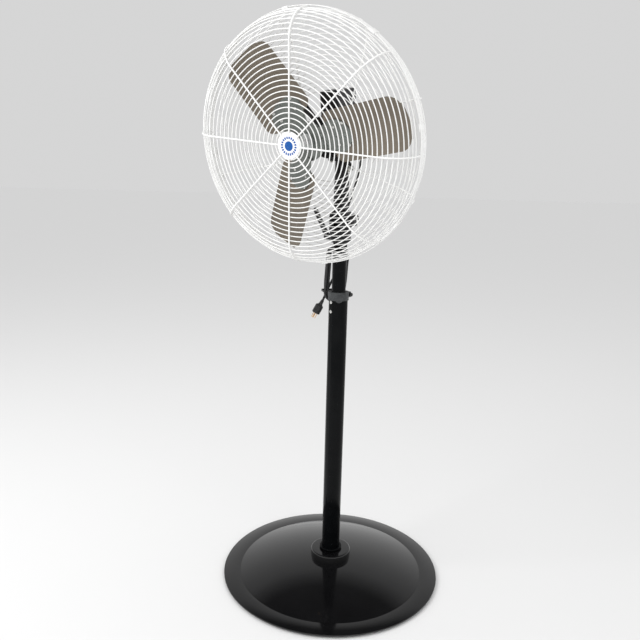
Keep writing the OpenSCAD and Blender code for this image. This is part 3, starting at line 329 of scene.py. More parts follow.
def all_finishes():
    """Every material of the object, by name."""
    made = [
        Finish("base_black", (0.004, 0.004, 0.0045), 0.07, coat=0.35, coat_roughness=0.03)
        .mottled((0.0032, 0.0032, 0.0036), (0.0055, 0.0055, 0.006), 9)
        .rough(0.05, 0.12, 14).relief(240, 0.00012, strength=0.10),
        Finish("tube_black", (0.0026, 0.003, 0.0034), 0.12, specular=0.10)
        .mottled((0.0020, 0.0024, 0.0028), (0.0034, 0.0038, 0.0042), 30)
        .rough(0.08, 0.18, 22).relief(420, 0.00012, strength=0.15),
        Finish("cast_black", (0.006, 0.006, 0.007), 0.30, specular=0.35)
        .mottled((0.004, 0.004, 0.0045), (0.010, 0.010, 0.011), 60)
        .rough(0.24, 0.44, 45).relief(260, 0.0004, detail=4, strength=0.35),
        Finish("collar_grey", (0.040, 0.043, 0.045), 0.5)
        .mottled((0.028, 0.030, 0.032), (0.052, 0.056, 0.058), 90)
        .rough(0.42, 0.62, 60).relief(380, 0.0003, detail=4, strength=0.3),
        Finish("zinc", (0.70, 0.70, 0.68), 0.28, metallic=1.0)
        .mottled((0.60, 0.60, 0.57), (0.78, 0.78, 0.76), 160)
        .rough(0.20, 0.40, 120).relief(700, 0.00008, strength=0.3),
        Finish("cord_black", (0.016, 0.016, 0.017), 0.42)
        .mottled((0.012, 0.012, 0.013), (0.022, 0.022, 0.023), 120)
        .rough(0.34, 0.52, 90).relief(600, 0.0001, strength=0.3),
        Finish("strap_plastic", (0.03, 0.03, 0.03), 0.55)
        .mottled((0.022, 0.022, 0.022), (0.038, 0.038, 0.038), 150)
        .rough(0.45, 0.65, 120).relief(700, 0.0001, strength=0.4),
        Finish("plug_black", (0.020, 0.020, 0.021), 0.40)
        .mottled((0.015, 0.015, 0.016), (0.028, 0.028, 0.029), 120)
        .rough(0.30, 0.50, 90).relief(900, 0.00012, strength=0.4),
        Finish("brass", (0.80, 0.50, 0.24), 0.25, metallic=1.0)
        .mottled((0.72, 0.42, 0.18), (0.86, 0.58, 0.30), 200).rough(0.18, 0.34, 160),
        Finish("knob_black", (0.020, 0.020, 0.022), 0.32)
        .mottled((0.015, 0.015, 0.016), (0.027, 0.027, 0.029), 90)
        .rough(0.24, 0.42, 70).relief(800, 0.00015, strength=0.35),
        Finish("motor_black", (0.006, 0.006, 0.007), 0.30, specular=0.4)
        .mottled((0.004, 0.004, 0.0045), (0.009, 0.009, 0.010), 40)
        .rough(0.22, 0.40, 50).relief(420, 0.0002, detail=3, strength=0.3),
        Finish("bell_black", (0.008, 0.008, 0.009), 0.34, specular=0.4)
        .mottled((0.005, 0.005, 0.006), (0.012, 0.012, 0.013), 60)
        .rough(0.26, 0.46, 60).relief(300, 0.0004, detail=4, strength=0.35),
        Finish("laminations", (0.36, 0.36, 0.37), 0.4, metallic=1.0)
        .mottled((0.30, 0.30, 0.31), (0.42, 0.42, 0.43), 60)
        .relief(900, 0.0002, stretch=(0.1, 1, 0.1)),
        Finish("copper_wire", (0.65, 0.30, 0.14), 0.35, metallic=1.0)
        .mottled((0.55, 0.24, 0.10), (0.74, 0.38, 0.20), 90).relief(500, 0.0005, strength=0.6),
        Finish("bearing_steel", (0.75, 0.75, 0.76), 0.18, metallic=1.0)
        .rough(0.12, 0.28, 90).relief(900, 0.00005, strength=0.2),
        Finish("capacitor_can", (0.62, 0.64, 0.66), 0.5)
        .mottled((0.56, 0.58, 0.60), (0.68, 0.70, 0.72), 50).relief(500, 0.0001),
        Finish("bush_plastic", (0.05, 0.05, 0.05), 0.6)
        .mottled((0.04, 0.04, 0.04), (0.06, 0.06, 0.06), 60).relief(500, 0.0001),
        Finish("guard_white", (0.88, 0.88, 0.87), 0.30, coat=0.25, coat_roughness=0.12)
        .mottled((0.85, 0.85, 0.84), (0.91, 0.91, 0.90), 70)
        .rough(0.22, 0.38, 80).relief(500, 0.0001, strength=0.25),
        badge_finish(),
        Finish("shaft_steel", (0.62, 0.62, 0.62), 0.25, metallic=1.0)
        .rough(0.16, 0.34, 300).relief(800, 0.00005),
        Finish("hub_alloy", (0.55, 0.57, 0.56), 0.35, metallic=1.0)
        .mottled((0.48, 0.50, 0.49), (0.62, 0.64, 0.63), 90)
        .rough(0.28, 0.46, 90).relief(600, 0.0001),
        Finish("spider_grey", (0.19, 0.205, 0.19), 0.30, metallic=0.7)
        .mottled((0.168, 0.182, 0.168), (0.214, 0.230, 0.214), 26)
        .rough(0.24, 0.38, 40).relief(420, 0.00015, strength=0.25),
        Finish("blade_grey", (0.20, 0.172, 0.138), 0.34, metallic=0.65)
        .mottled((0.172, 0.148, 0.119), (0.228, 0.196, 0.157), 7, detail=5)
        .rough(0.28, 0.42, 18).relief(600, 0.0001, strength=0.2),
    ]
    return {finish.name: finish.material for finish in made}


BLACK, WHITE = (0, 0, 0), (1, 1, 1)
BADGE_WHITE = (0.90, 0.90, 0.89)
BADGE_BLUE = (0.0, 0.080, 0.33)
BADGE_DASHES = 20
# the print's edges fade out between two distances, as shares of the badge's radius
DOT_EDGE = (0.37, 0.40)
BAND_INNER = (0.53, 0.56)
BAND_OUTER = (0.73, 0.76)
# a gap between two dashes ends between these shares of the way round
DASH_EDGE = (0.0070, 0.0088)


def badge_finish():
    """White, with a plain blue dot and a ring of blue dashes printed on its face."""
    finish = Finish("badge_white", BADGE_WHITE, 0.22, coat=0.2, coat_roughness=0.06)
    finish.rough(0.18, 0.30, 60).relief(400, 0.00008, strength=0.2)
    inward = HEAD.inverted()
    turned = finish.nodes.new("ShaderNodeMapping")
    turned.inputs["Location"].default_value = inward.to_translation()
    turned.inputs["Rotation"].default_value = inward.to_euler()
    finish.links.new(finish.place, turned.inputs["Vector"])
    flat = finish.nodes.new("ShaderNodeVectorMath")
    flat.operation = "MULTIPLY"
    flat.inputs[1].default_value = (1 / BADGE_R, 1 / BADGE_R, 0)
    finish.links.new(turned.outputs["Vector"], flat.inputs[0])
    length = finish.nodes.new("ShaderNodeVectorMath")
    length.operation = "LENGTH"
    finish.links.new(flat.outputs["Vector"], length.inputs[0])
    radius = length.outputs["Value"]
    around = finish.nodes.new("ShaderNodeTexGradient")
    around.gradient_type = "RADIAL"
    finish.links.new(flat.outputs["Vector"], around.inputs["Vector"])
    dash = finish.nodes.new("ShaderNodeMath")
    dash.operation = "PINGPONG"
    finish.links.new(around.outputs["Fac"], dash.inputs[0])
    dash.inputs[1].default_value = 0.5 / BADGE_DASHES
    dot = finish.ramp(radius, ((0.0, WHITE), (DOT_EDGE[0], WHITE), (DOT_EDGE[1], BLACK)))
    band = finish.ramp(radius, ((BAND_INNER[0], BLACK), (BAND_INNER[1], WHITE),
                                (BAND_OUTER[0], WHITE), (BAND_OUTER[1], BLACK)))
    gaps = finish.ramp(dash.outputs["Value"], ((DASH_EDGE[0], BLACK), (DASH_EDGE[1], WHITE)))
    dashes = finish.nodes.new("ShaderNodeMath")
    dashes.operation = "MULTIPLY_ADD"
    for socket, value in zip(dashes.inputs, (band, gaps, dot)):
        finish.links.new(value, socket)
    printed = finish.nodes.new("ShaderNodeMix")
    printed.data_type = "RGBA"
    printed.inputs["A"].default_value = (*BADGE_WHITE, 1)
    printed.inputs["B"].default_value = (*BADGE_BLUE, 1)
    finish.links.new(dashes.outputs["Value"], printed.inputs["Factor"])
    finish.links.new(printed.outputs["Result"], finish.shader.inputs["Base Color"])
    return finish


# ---------------------------------------------------------------- mesh helpers
def shade(mesh, sharp):
    """Shades a mesh smooth, apart from its edges sharper than this many degrees, if given."""
    mesh.shade_smooth()
    if sharp:
        mesh.set_sharp_from_angle(angle=math.radians(sharp))


def piece(name, mesh, body, finish, replaces=(), sharp=SHARP):
    """A finished mesh becomes a piece of the object that rides on a body."""
    mesh.materials.clear()
    mesh.materials.append(FINISHES[finish])
    shade(mesh, sharp)
    obj = bpy.data.objects.new(name, mesh)
    bpy.context.collection.objects.link(obj)
    if body:
        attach(obj, body)
    if replaces:
        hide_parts(*replaces)
    return obj


def finished(bm, name):
    """The mesh of a bmesh, with doubles merged and faces turned outwards."""
    bmesh.ops.remove_doubles(bm, verts=bm.verts, dist=MERGE)
    bmesh.ops.recalc_face_normals(bm, faces=bm.faces)
    mesh = bpy.data.meshes.new(name)
    bm.to_mesh(mesh)
    bm.free()
    return mesh


def refined(node, body, finish, bevel):
    """A CAD node with its facets joined, its edges rounded and its curves smooth."""
    bm = bmesh.new()
    bm.from_mesh(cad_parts[node].data)
    bmesh.ops.remove_doubles(bm, verts=bm.verts, dist=CAD_MERGE)
    bmesh.ops.dissolve_limit(bm, angle_limit=math.radians(FACET), verts=bm.verts, edges=bm.edges)
    mesh = bpy.data.meshes.new(node + "_skin")
    bm.to_mesh(mesh)
    bm.free()
    obj = piece(node + "_skin", mesh, None, finish)
    if bevel:
        edge = obj.modifiers.new("edges", "BEVEL")
        edge.width, edge.segments, edge.limit_method = bevel, 2, "ANGLE"
        edge.angle_limit = math.radians(SHARP)
        edge.harden_normals = False
        shade(settle(obj), SHARP)
    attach(obj, body)
    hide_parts(node)


def settle(obj):
    """The object's modifiers become its plain mesh."""
    deps = bpy.context.evaluated_depsgraph_get()
    mesh = bpy.data.meshes.new_from_object(obj.evaluated_get(deps), depsgraph=deps)
    obj.modifiers.clear()
    obj.data = mesh
    return mesh


def round_angles(count):
    """The angles of evenly spaced points all the way round."""
    return np.linspace(0, 2 * math.pi, count, endpoint=False)


def skin(bm, rows):
    """Quads from each closed row of vertices to the next."""
    for low, high in zip(rows, rows[1:]):
        for k in range(len(low)):
            after = (k + 1) % len(low)
            bm.faces.new((low[k], low[after], high[after], high[k]))


def capped_skin(bm, rows):
    """A skin whose first and last rows are filled in."""
    skin(bm, rows)
    bm.faces.new(rows[0][::-1])
    bm.faces.new(rows[-1])


# ---------------------------------------------------------------- geometry node trees
class Tree:
    """A geometry node tree with named inputs for its sizes."""

    def __init__(self, name, **sizes):
        self.tree = bpy.data.node_groups.new(name, "GeometryNodeTree")
        face = self.tree.interface
        face.new_socket("Geometry", in_out="INPUT", socket_type="NodeSocketGeometry")
        for key, value in sizes.items():
            kind = "NodeSocketInt" if isinstance(value, int) else "NodeSocketFloat"
            face.new_socket(key, in_out="INPUT", socket_type=kind).default_value = value
        face.new_socket("Geometry", in_out="OUTPUT", socket_type="NodeSocketGeometry")
        self.given = self.tree.nodes.new("NodeGroupInput")
        self.result = self.tree.nodes.new("NodeGroupOutput")

    def size(self, key):
        """A size that the tree is given."""
        return self.given.outputs[key]

    def add(self, kind, settings=None, **inputs):
        """A node; an underscore in an input's name stands for a space."""
        node = self.tree.nodes.new(kind)
        for key, value in (settings or {}).items():
            setattr(node, key, value)
        for key, value in inputs.items():
            self.feed(node.inputs[key.replace("_", " ")], value)
        return node

    def feed(self, socket, value):
        """A link from another node, or a fixed value."""
        if isinstance(value, bpy.types.NodeSocket):
            self.tree.links.new(value, socket)
        else:
            socket.default_value = value

    def math(self, operation, *values):
        """The outcome of a sum on numbers or on other nodes' outcomes."""
        node = self.tree.nodes.new("ShaderNodeMath")
        node.operation = operation
        for socket, value in zip(node.inputs, values):
            self.feed(socket, value)
        return node.outputs[0]

    def held(self, value, limit):
        """The value, kept between nothing and a limit."""
        return self.math("MINIMUM", self.math("MAXIMUM", value, 0.0), limit)

    def vector(self, x=0.0, y=0.0, z=0.0):
        node = self.tree.nodes.new("ShaderNodeCombineXYZ")
        for socket, value in zip(node.inputs, (x, y, z)):
            self.feed(socket, value)
        return node.outputs[0]

    def index(self):
        return self.tree.nodes.new("GeometryNodeInputIndex").outputs[0]

    def noted(self, points, name, value):
        """The points, each with its own value under a name."""
        node = self.add("GeometryNodeStoreNamedAttribute",
                        {"data_type": "FLOAT", "domain": "POINT"},
                        Geometry=points, Name=name, Value=value)
        return node.outputs[0]

    def note(self, name):
        """The value that each point has under a name."""
        node = self.add("GeometryNodeInputNamedAttribute", {"data_type": "FLOAT"}, Name=name)
        return node.outputs[0]

    def circle(self, sides, radius):
        node = self.add("GeometryNodeCurvePrimitiveCircle", {"mode": "RADIUS"}, Resolution=sides,
                        Radius=radius)
        return node.outputs[0]

    def close(self, copies, sides, finish, ends=False):
        """Ends the tree: the copied curves become round wires, smooth and with their finish."""
        real = self.add("GeometryNodeRealizeInstances", Geometry=copies)
        profile = self.circle(sides, self.math("MULTIPLY", self.size("Wire"), 0.5))
        tube = self.add("GeometryNodeCurveToMesh", Curve=real.outputs[0], Profile_Curve=profile,
                        Fill_Caps=ends)
        smooth = self.add("GeometryNodeSetShadeSmooth", Geometry=tube.outputs[0])
        paint = self.add("GeometryNodeSetMaterial", Geometry=smooth.outputs[0],
                         Material=FINISHES[finish])
        self.tree.links.new(paint.outputs[0], self.result.inputs["Geometry"])
        return self

    def grow(self, name, body, finish, replaces, place, **sizes):
        """A plain mesh from this tree, put in place and riding on a body."""
        maker = bpy.data.objects.new(name + "_maker", bpy.data.meshes.new(name + "_maker"))
        bpy.context.collection.objects.link(maker)
        modifier = maker.modifiers.new("tree", "NODES")
        modifier.node_group = self.tree
        for item in self.tree.interface.items_tree:
            if item.item_type == "SOCKET" and item.in_out == "INPUT" and item.name in sizes:
                modifier[item.identifier] = sizes[item.name]
        mesh = settle(maker)
        bpy.data.objects.remove(maker)
        mesh.transform(place)
        if place.determinant() < 0:
            mesh.flip_normals()
        piece(name, mesh, body, finish, replaces, sharp=None)


def along_guard(tree, distance):
    """The radius and depth of a point that is this far along the guard from its axis."""
    flat = GUARD_R - SHOULDER_R
    turn = SHOULDER_R * math.pi / 2
    past = tree.math("SUBTRACT", distance, flat)
    angle = tree.math("DIVIDE", tree.held(past, turn), SHOULDER_R)
    radius = tree.math("ADD", tree.math("MINIMUM", distance, flat),
                       tree.math("MULTIPLY", SHOULDER_R, tree.math("SINE", angle)))
    drop = tree.math("MULTIPLY", SHOULDER_R, tree.math("COSINE", angle))
    straight = tree.math("MAXIMUM", tree.math("SUBTRACT", distance, flat + turn), 0.0)
    depth = tree.math("SUBTRACT", tree.math("ADD", drop, -SHOULDER_R), straight)
    return radius, depth


def ring_tree():
    """Concentric rings along the guard's outline."""
    tree = Tree("guard_rings", First=0, Count=FRONT_RINGS, Start=FIRST_RING_R, Pitch=RING_PITCH,
                Wire=WIRE_D)
    points = tree.add("GeometryNodePoints", Count=tree.size("Count"))
    number = tree.math("ADD", tree.index(), tree.size("First"))
    distance = tree.math("MULTIPLY_ADD", number, tree.size("Pitch"), tree.size("Start"))
    radius, depth = along_guard(tree, distance)
    sized = tree.noted(points.outputs[0], "radius_here", radius)
    placed = tree.add("GeometryNodeSetPosition", Geometry=sized, Position=tree.vector(z=depth))
    scale = tree.note("radius_here")
    rings = tree.add("GeometryNodeInstanceOnPoints", Points=placed.outputs[0],
                     Instance=tree.circle(RING_SIDES, 1.0), Scale=tree.vector(scale, scale, 1.0))
    return tree.close(rings.outputs[0], WIRE_SIDES, "guard_white")


def rib_line(tree):
    """One rib's curve, seen from the side: out along the face, round the shoulder and back."""
    steps = 60
    line = tree.add("GeometryNodeMeshLine", {"mode": "OFFSET"}, Count=steps)
    run = tree.math("SUBTRACT", tree.size("Flat"), tree.size("Start"))
    curved = tree.math("MULTIPLY", tree.size("Bend"), math.pi / 2)
    low = tree.math("SUBTRACT", RIB_OFF, tree.size("Bend"))
    back = tree.math("SUBTRACT", low, tree.size("End"))
    total = tree.math("ADD", tree.math("ADD", run, curved), back)
    share = tree.math("DIVIDE", tree.index(), steps - 1.0)
    here = tree.math("MULTIPLY", share, total)
    along = tree.math("MINIMUM", here, run)
    past = tree.math("SUBTRACT", here, run)
    angle = tree.math("DIVIDE", tree.held(past, curved), tree.size("Bend"))
    over = tree.math("MAXIMUM", tree.math("SUBTRACT", here, tree.math("ADD", run, curved)), 0.0)
    out = tree.math("MULTIPLY", tree.size("Bend"), tree.math("SINE", angle))
    up = tree.math("MULTIPLY", tree.size("Bend"), tree.math("COSINE", angle))
    x = tree.math("ADD", tree.math("ADD", tree.size("Start"), along), out)
    z = tree.math("SUBTRACT", tree.math("ADD", low, up), over)
    bent = tree.add("GeometryNodeSetPosition", Geometry=line.outputs[0],
                    Position=tree.vector(x, 0.0, z))
    return tree.add("GeometryNodeMeshToCurve", Mesh=bent.outputs[0]).outputs[0]


def rib_tree(name, count, apex, half, start, flat, bend):
    """Rib wires from the guard's middle, round its shoulder and back to its seam.

    With an apex they stand in pairs, each a vee that opens outwards by half either way from a
    point this far off the axis; without one they spread evenly.
    """
    tree = Tree(name, Ribs=count, Wire=RIB_D, Start=start, Flat=flat, Bend=bend,
                End=-GUARD_DEPTH / 2 + SEAM_GAP, Turn=0.0, Half=half, Apex=apex)
    points = tree.add("GeometryNodePoints", Count=tree.size("Ribs"))
    if apex:
        pair = tree.math("FLOOR", tree.math("MULTIPLY", tree.index(), 0.5))
        turn = tree.math("ADD", tree.size("Turn"), tree.math("MULTIPLY", pair, math.pi / 2))
        odd = tree.math("MODULO", tree.index(), 2.0)
        side = tree.math("SUBTRACT", tree.math("MULTIPLY", odd, 2.0), 1.0)
        lean = tree.math("ADD", turn, tree.math("MULTIPLY", side, tree.size("Half")))
    else:
        spread = tree.math("MULTIPLY", tree.index(), 2 * math.pi / count)
        lean = turn = tree.math("ADD", tree.size("Turn"), spread)
    at = tree.vector(tree.math("MULTIPLY", tree.size("Apex"), tree.math("COSINE", turn)),
                     tree.math("MULTIPLY", tree.size("Apex"), tree.math("SINE", turn)), 0.0)
    leaning = tree.noted(points.outputs[0], "lean", lean)
    placed = tree.add("GeometryNodeSetPosition", Geometry=leaning, Position=at)
    ribs = tree.add("GeometryNodeInstanceOnPoints", Points=placed.outputs[0],
                    Instance=rib_line(tree), Rotation=tree.vector(0.0, 0.0, tree.note("lean")))
    return tree.close(ribs.outputs[0], RIB_SIDES, "guard_white", ends=True)


# ---------------------------------------------------------------- cord
# in millimetres: from the gland down to the tilt joint, and from there down behind the column
LEAD = [(18, 75.4, 1402), (18, 77.4, 1390), (18, 79, 1378), (17, 79, 1362), (15, 76, 1344),
        (12.5, 69.5, 1324), (10, 62, 1305), (7, 53, 1284), (4, 46, 1264), (1, 42, 1250),
        (0, 41, 1238)]
RUN = [(0, 41, 1186), (0, 41, 1168), (0, 41, 1152), (-3, 44, 1137), (-7.5, 49.5, 1120)]
# half the width of the hank's outer and of its inner turns
WIDE, CLOSE = 4.1 * CORD_D, 3.1 * CORD_D
# the hank's tail stands upright up to this height, and has the full lean this far above it
TAIL_FOOT, TAIL_RISE = -0.050, 0.095


def eased(t):
    """From 0 to 1, with a soft start and a soft end."""
    t = min(max(t, 0.0), 1.0)
    return t * t * (3 - 2 * t)


def leaned(point, share=1.0):
    """A place on the hank after the lean towards the column, a turn about the hank's foot."""
    x, y, z = point
    turn, up = HANK_LEAN * share, y - HANK_FOOT
    return (x * math.cos(turn) - up * math.sin(turn),
            HANK_FOOT + x * math.sin(turn) + up * math.cos(turn), z)


def hank_route():
    """The turns of the hank in its own places: down one side, round, up the other and round."""
    d = CORD_D
    half = HANK_RUN / 2
    # each turn: its half width and its layer at the bottom fold, then both at the top fold
    turns = [(WIDE, -d, WIDE, -d), (CLOSE, -d, CLOSE, 0.0), (CLOSE, 0.0, WIDE, 0.0),
             (WIDE, 0.0, WIDE, d), (CLOSE, d, CLOSE, d)]
    # where a turn steps over to its next layer, on its way up and on its way down
    step_up = [(-0.02, 0.02), (0.02, 0.06), (-0.02, 0.02), (-0.06, -0.02), (-0.02, 0.02)]
    step_down = [(0.02, -0.02), (-0.02, -0.06), (-0.02, -0.06), (-0.02, -0.06)]
    route = [(-WIDE, y, -2.1 * d) for y in (0.055, 0.035, 0.010, -0.015)]
    route.append((-WIDE, -0.040, -1.6 * d))

    def fold(middle_y, radius, layer, start, steps=14):
        """Half a circle, from a start angle in degrees."""
        for k in range(steps + 1):
            a = math.radians(start + 180 * k / steps)
            route.append((radius * math.cos(a), middle_y + radius * math.sin(a), layer))

    def straight(side, y0, y1, a, b, span, steps=12):
        """A straight side, with a smooth step from a to b within span."""
        for k in range(1, steps):
            y = y0 + (y1 - y0) * k / steps
            s = eased((y - span[0]) / (span[1] - span[0]))
            route.append((side * (a[0] + (b[0] - a[0]) * s), y, a[1] + (b[1] - a[1]) * s))

    for i, (*low, top_r, top_z) in enumerate(turns):
        top = (top_r, top_z)
        fold(-half, *low, 180)
        straight(1, -half, half, low, top, step_up[i])
        fold(half, *top, 0)
        if i + 1 < len(turns):
            straight(-1, half, -half, top, turns[i + 1][:2], step_down[i])
    tail = [(-CLOSE, 0.045, 1.2 * d), (-0.0190, 0.027, 1.7 * d), (-0.0110, 0.006, 2.0 * d),
            (-0.0018, -0.0155, 2.1 * d), (0.0063, -0.033, 2.1 * d), (0.0140, -0.050, 2.1 * d),
            (0.0186, -0.060, 2.08 * d), (0.0217, -0.067, 0.0152), (0.0245, -0.0728, 0.0138),
            (0.0284, -0.0808, 0.0120)]
    return ([leaned(point) for point in route]
            + [leaned(point, eased((point[1] - TAIL_FOOT) / TAIL_RISE)) for point in tail])


def cord_points():
    """The whole route in the row frame, every few millimetres along one smooth curve."""
    corners = [Vector(p) * MM for p in LEAD + RUN]
    corners += [HANK @ Vector(p) for p in hank_route()]
    corners += [PLUG.to_translation(), PLUG @ Vector((0, 0, -CORD_IN_PLUG))]
    return smooth_line(corners, CORD_STEP)


def smooth_line(corners, step, pieces=12):
    """A centripetal Catmull-Rom curve through the corners, in even steps."""
    p = [2 * corners[0] - corners[1], *corners, 2 * corners[-1] - corners[-2]]
    fine = []
    for a, b, c, d in zip(p, p[1:], p[2:], p[3:]):
        t0 = 0.0
        t1 = t0 + max((b - a).length, 1e-9) ** 0.5
        t2 = t1 + max((c - b).length, 1e-9) ** 0.5
        t3 = t2 + max((d - c).length, 1e-9) ** 0.5
        for k in range(pieces):
            t = t1 + (t2 - t1) * k / pieces
            a1 = a * ((t1 - t) / (t1 - t0)) + b * ((t - t0) / (t1 - t0))
            a2 = b * ((t2 - t) / (t2 - t1)) + c * ((t - t1) / (t2 - t1))
            a3 = c * ((t3 - t) / (t3 - t2)) + d * ((t - t2) / (t3 - t2))
            b1 = a1 * ((t2 - t) / (t2 - t0)) + a2 * ((t - t0) / (t2 - t0))
            b2 = a2 * ((t3 - t) / (t3 - t1)) + a3 * ((t - t1) / (t3 - t1))
            fine.append(b1 * ((t2 - t) / (t2 - t1)) + b2 * ((t - t1) / (t2 - t1)))
    fine.append(corners[-1])
    line = np.array([tuple(v) for v in fine])
    run = np.concatenate([[0.0], np.cumsum(np.linalg.norm(np.diff(line, axis=0), axis=1))])
    at = np.linspace(0, run[-1], int(run[-1] / step) + 1)
    return np.stack([np.interp(at, run, line[:, k]) for k in range(3)], axis=1)


def tube_mesh(name, line, radius, sides):
    """A round tube along a line, closed at both ends and without twist."""
    heading = np.gradient(line, axis=0)
    heading /= np.linalg.norm(heading, axis=1)[:, None]
    across = (1.0, 0.0, 0.0) if abs(heading[0][0]) < 0.8 else (0.0, 1.0, 0.0)
    up = np.cross(heading[0], across)
    bm = bmesh.new()
    rows = []
    for p, t in zip(line, heading):
        up = up - t * np.dot(up, t)
        up /= np.linalg.norm(up)
        side = np.cross(t, up)
        rows.append([bm.verts.new(p + radius * (math.cos(w) * up + math.sin(w) * side))
                     for w in round_angles(sides)])
    capped_skin(bm, rows)
    return finished(bm, name)


def cord():
    """The mains cord, one tube from the gland to the plug, which bends over the tilt joint."""
    line = cord_points()
    obj = piece("mains_cord", tube_mesh("mains_cord", line, CORD_D / 2, CORD_SIDES), None,
                "cord_black", ("cord_lead", "cord_run", "cord_hank", "cord_tail"), sharp=None)
    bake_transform(obj)


def plug_body():
    """The moulded plug: a ribbed grip with round corners, and a sleeve that narrows to the cord."""
    # each row in millimetres: its place along the plug and its two half widths
    full, grooved = (13.4, 11.9), (12.5, 11.0)
    sleeve = [(0.0, 5.0, 5.0), (-3, 5.0, 5.0), (-3.4, 5.6, 5.6), (-5.4, 5.8, 5.8),
              (-5.8, 5.3, 5.3), (-7.8, 5.5, 5.5), (-8.2, 6.2, 6.2), (-10.2, 6.4, 6.4),
              (-10.6, 5.9, 5.9), (-12.6, 6.2, 6.2), (-13, 7.0, 7.0), (-16.5, 7.7, 7.7),
              (-17.6, 9.6, 9.2), (-19, 11.7, 10.5), (-21, 13.0, 11.5), (-22.5, *full)]
    grooves, first, pitch = 6, -23.5, 3.4
    grip = []
    for k in range(grooves):
        z = first - pitch * k
        grip += [(z, *full), (z - 0.4, *grooved), (z - 1.2, *grooved), (z - 1.6, *full)]
    end = [(-45.5, *full), (-47, 12.9, 11.4), (-47.8, 12.0, 10.5), (-47.95, 10.8, 9.3)]
    # down to here the plug is round, and past it nearer to a rectangle
    round_to, rectangular = -14, 0.72
    bm = bmesh.new()
    rows = []
    for z, a, b in sleeve + grip + end:
        power = 1.0 if z > round_to else rectangular
        row = []
        for w in round_angles(PLUG_SIDES):
            x = math.copysign(a * abs(math.cos(w)) ** power, math.cos(w))
            y = math.copysign(b * abs(math.sin(w)) ** power, math.sin(w))
            row.append(bm.verts.new(PLUG @ (MM * Vector((x, y, z)))))
        rows.append(row)
    capped_skin(bm, rows)
    piece("plug_body_skin", finished(bm, "plug_body_skin"), "neck", "plug_black", ("plug_body",),
          sharp=32.0)


def hank_tie():
    """A strap round the turns of the hank."""
    right, back = STRAP_HALF_W - STRAP_CORNER_R, STRAP_BACK + STRAP_CORNER_R
    left, front = -STRAP_HALF_W + STRAP_CORNER_R, STRAP_FRONT - STRAP_CORNER_R
    steps = 6
    outline = []
    for cx, cz, start in ((right, front, 0), (left, front, 90),
                          (left, back, 180), (right, back, 270)):
        for k in range(steps + 1):
            a = math.radians(start + 90 * k / steps)
            outline.append((cx + STRAP_CORNER_R * math.cos(a), cz + STRAP_CORNER_R * math.sin(a)))
    bm = bmesh.new()
    rows = []
    for inset, y in ((0.0, -STRAP_HALF_H), (0.0, STRAP_HALF_H), (STRAP_T, STRAP_HALF_H),
                     (STRAP_T, -STRAP_HALF_H)):
        row = []
        for x, z in outline:
            k = 1 - inset / math.hypot(x, z)
            row.append(bm.verts.new(HANK @ Vector((x * k, y - HANK_RUN / 2 + STRAP_UP, z * k))))
        rows.append(row)
    skin(bm, rows + rows[:1])
    piece("hank_tie", finished(bm, "hank_tie"), "neck", "strap_plastic", ("cord_tie",))


# ---------------------------------------------------------------- guard
def guard():
    """The rings and ribs of both halves, the plate behind the badge, and the rims."""
    front = HEAD
    mirrored = Matrix.Scale(-1, 4, (0, 0, 1))
    rear = HEAD @ Matrix.Translation((0, 0, -GUARD_DEPTH)) @ mirrored
    rings = ring_tree()
    rings.grow("front_rings", "head", "guard_white", ("front_guard_face", "front_guard_shoulder"),
               front, First=0, Count=FRONT_RINGS)
    rings.grow("rear_rings", "head", "guard_white", ("rear_guard_face", "rear_guard_shoulder"),
               rear, First=REAR_SKIP, Count=FRONT_RINGS - REAR_SKIP)

    flat = GUARD_R - SHOULDER_R
    ribs = rib_tree("front_rib_wires", FRONT_RIBS, 0.0, 0.0, BADGE_R + BADGE_GAP, flat,
                    SHOULDER_R + RIB_OFF)
    ribs.grow("front_ribs", "head", "guard_white", ("front_guard_ribs",), front, Turn=RIB_TURN)

    def leg(radius):
        """How far along a vee's side it is from the apex to this distance off the axis."""
        across, ahead = VEE_R * math.sin(VEE_HALF), VEE_R * math.cos(VEE_HALF)
        return math.sqrt(radius ** 2 - across ** 2) - ahead

    run = round(leg(flat), 4)
    bend = round(leg(GUARD_R + RIB_OFF) - run, 4)
    ribs = rib_tree("rear_rib_wires", REAR_RIBS, VEE_R, VEE_HALF, 0.0, run, bend)
    ribs.grow("rear_ribs", "head", "guard_white", ("rear_guard_ribs",), rear,
              Turn=RIB_TURN + math.pi / 4)

    bm = bmesh.new()
    bmesh.ops.create_cone(bm, cap_ends=True, segments=BADGE_SIDES, radius1=BADGE_R + PLATE_EDGE,
                          radius2=BADGE_R + PLATE_EDGE, depth=PLATE_T,
                          matrix=HEAD @ Matrix.Translation((0, 0, PLATE_AHEAD)))
    piece("badge_plate", finished(bm, "badge_plate"), "head", "guard_white")
    for node in ("front_rim", "rear_rim"):
        refined(node, "head", "guard_white", bevel=0.0004)


# ---------------------------------------------------------------- base
def arc(centre_z, radius, r0, r1, count):
    """Points of a dome's outline from one distance off the axis to another."""
    return [(r, centre_z + math.sqrt(radius ** 2 - r ** 2)) for r in np.linspace(r0, r1, count)]


def lathe(bm, outline, sides):
    """A closed outline of radii and heights, turned about the column's axis."""
    rows = [[bm.verts.new((r * math.cos(w), r * math.sin(w), z)) for w in round_angles(sides)]
            for r, z in outline]
    skin(bm, rows + rows[:1])


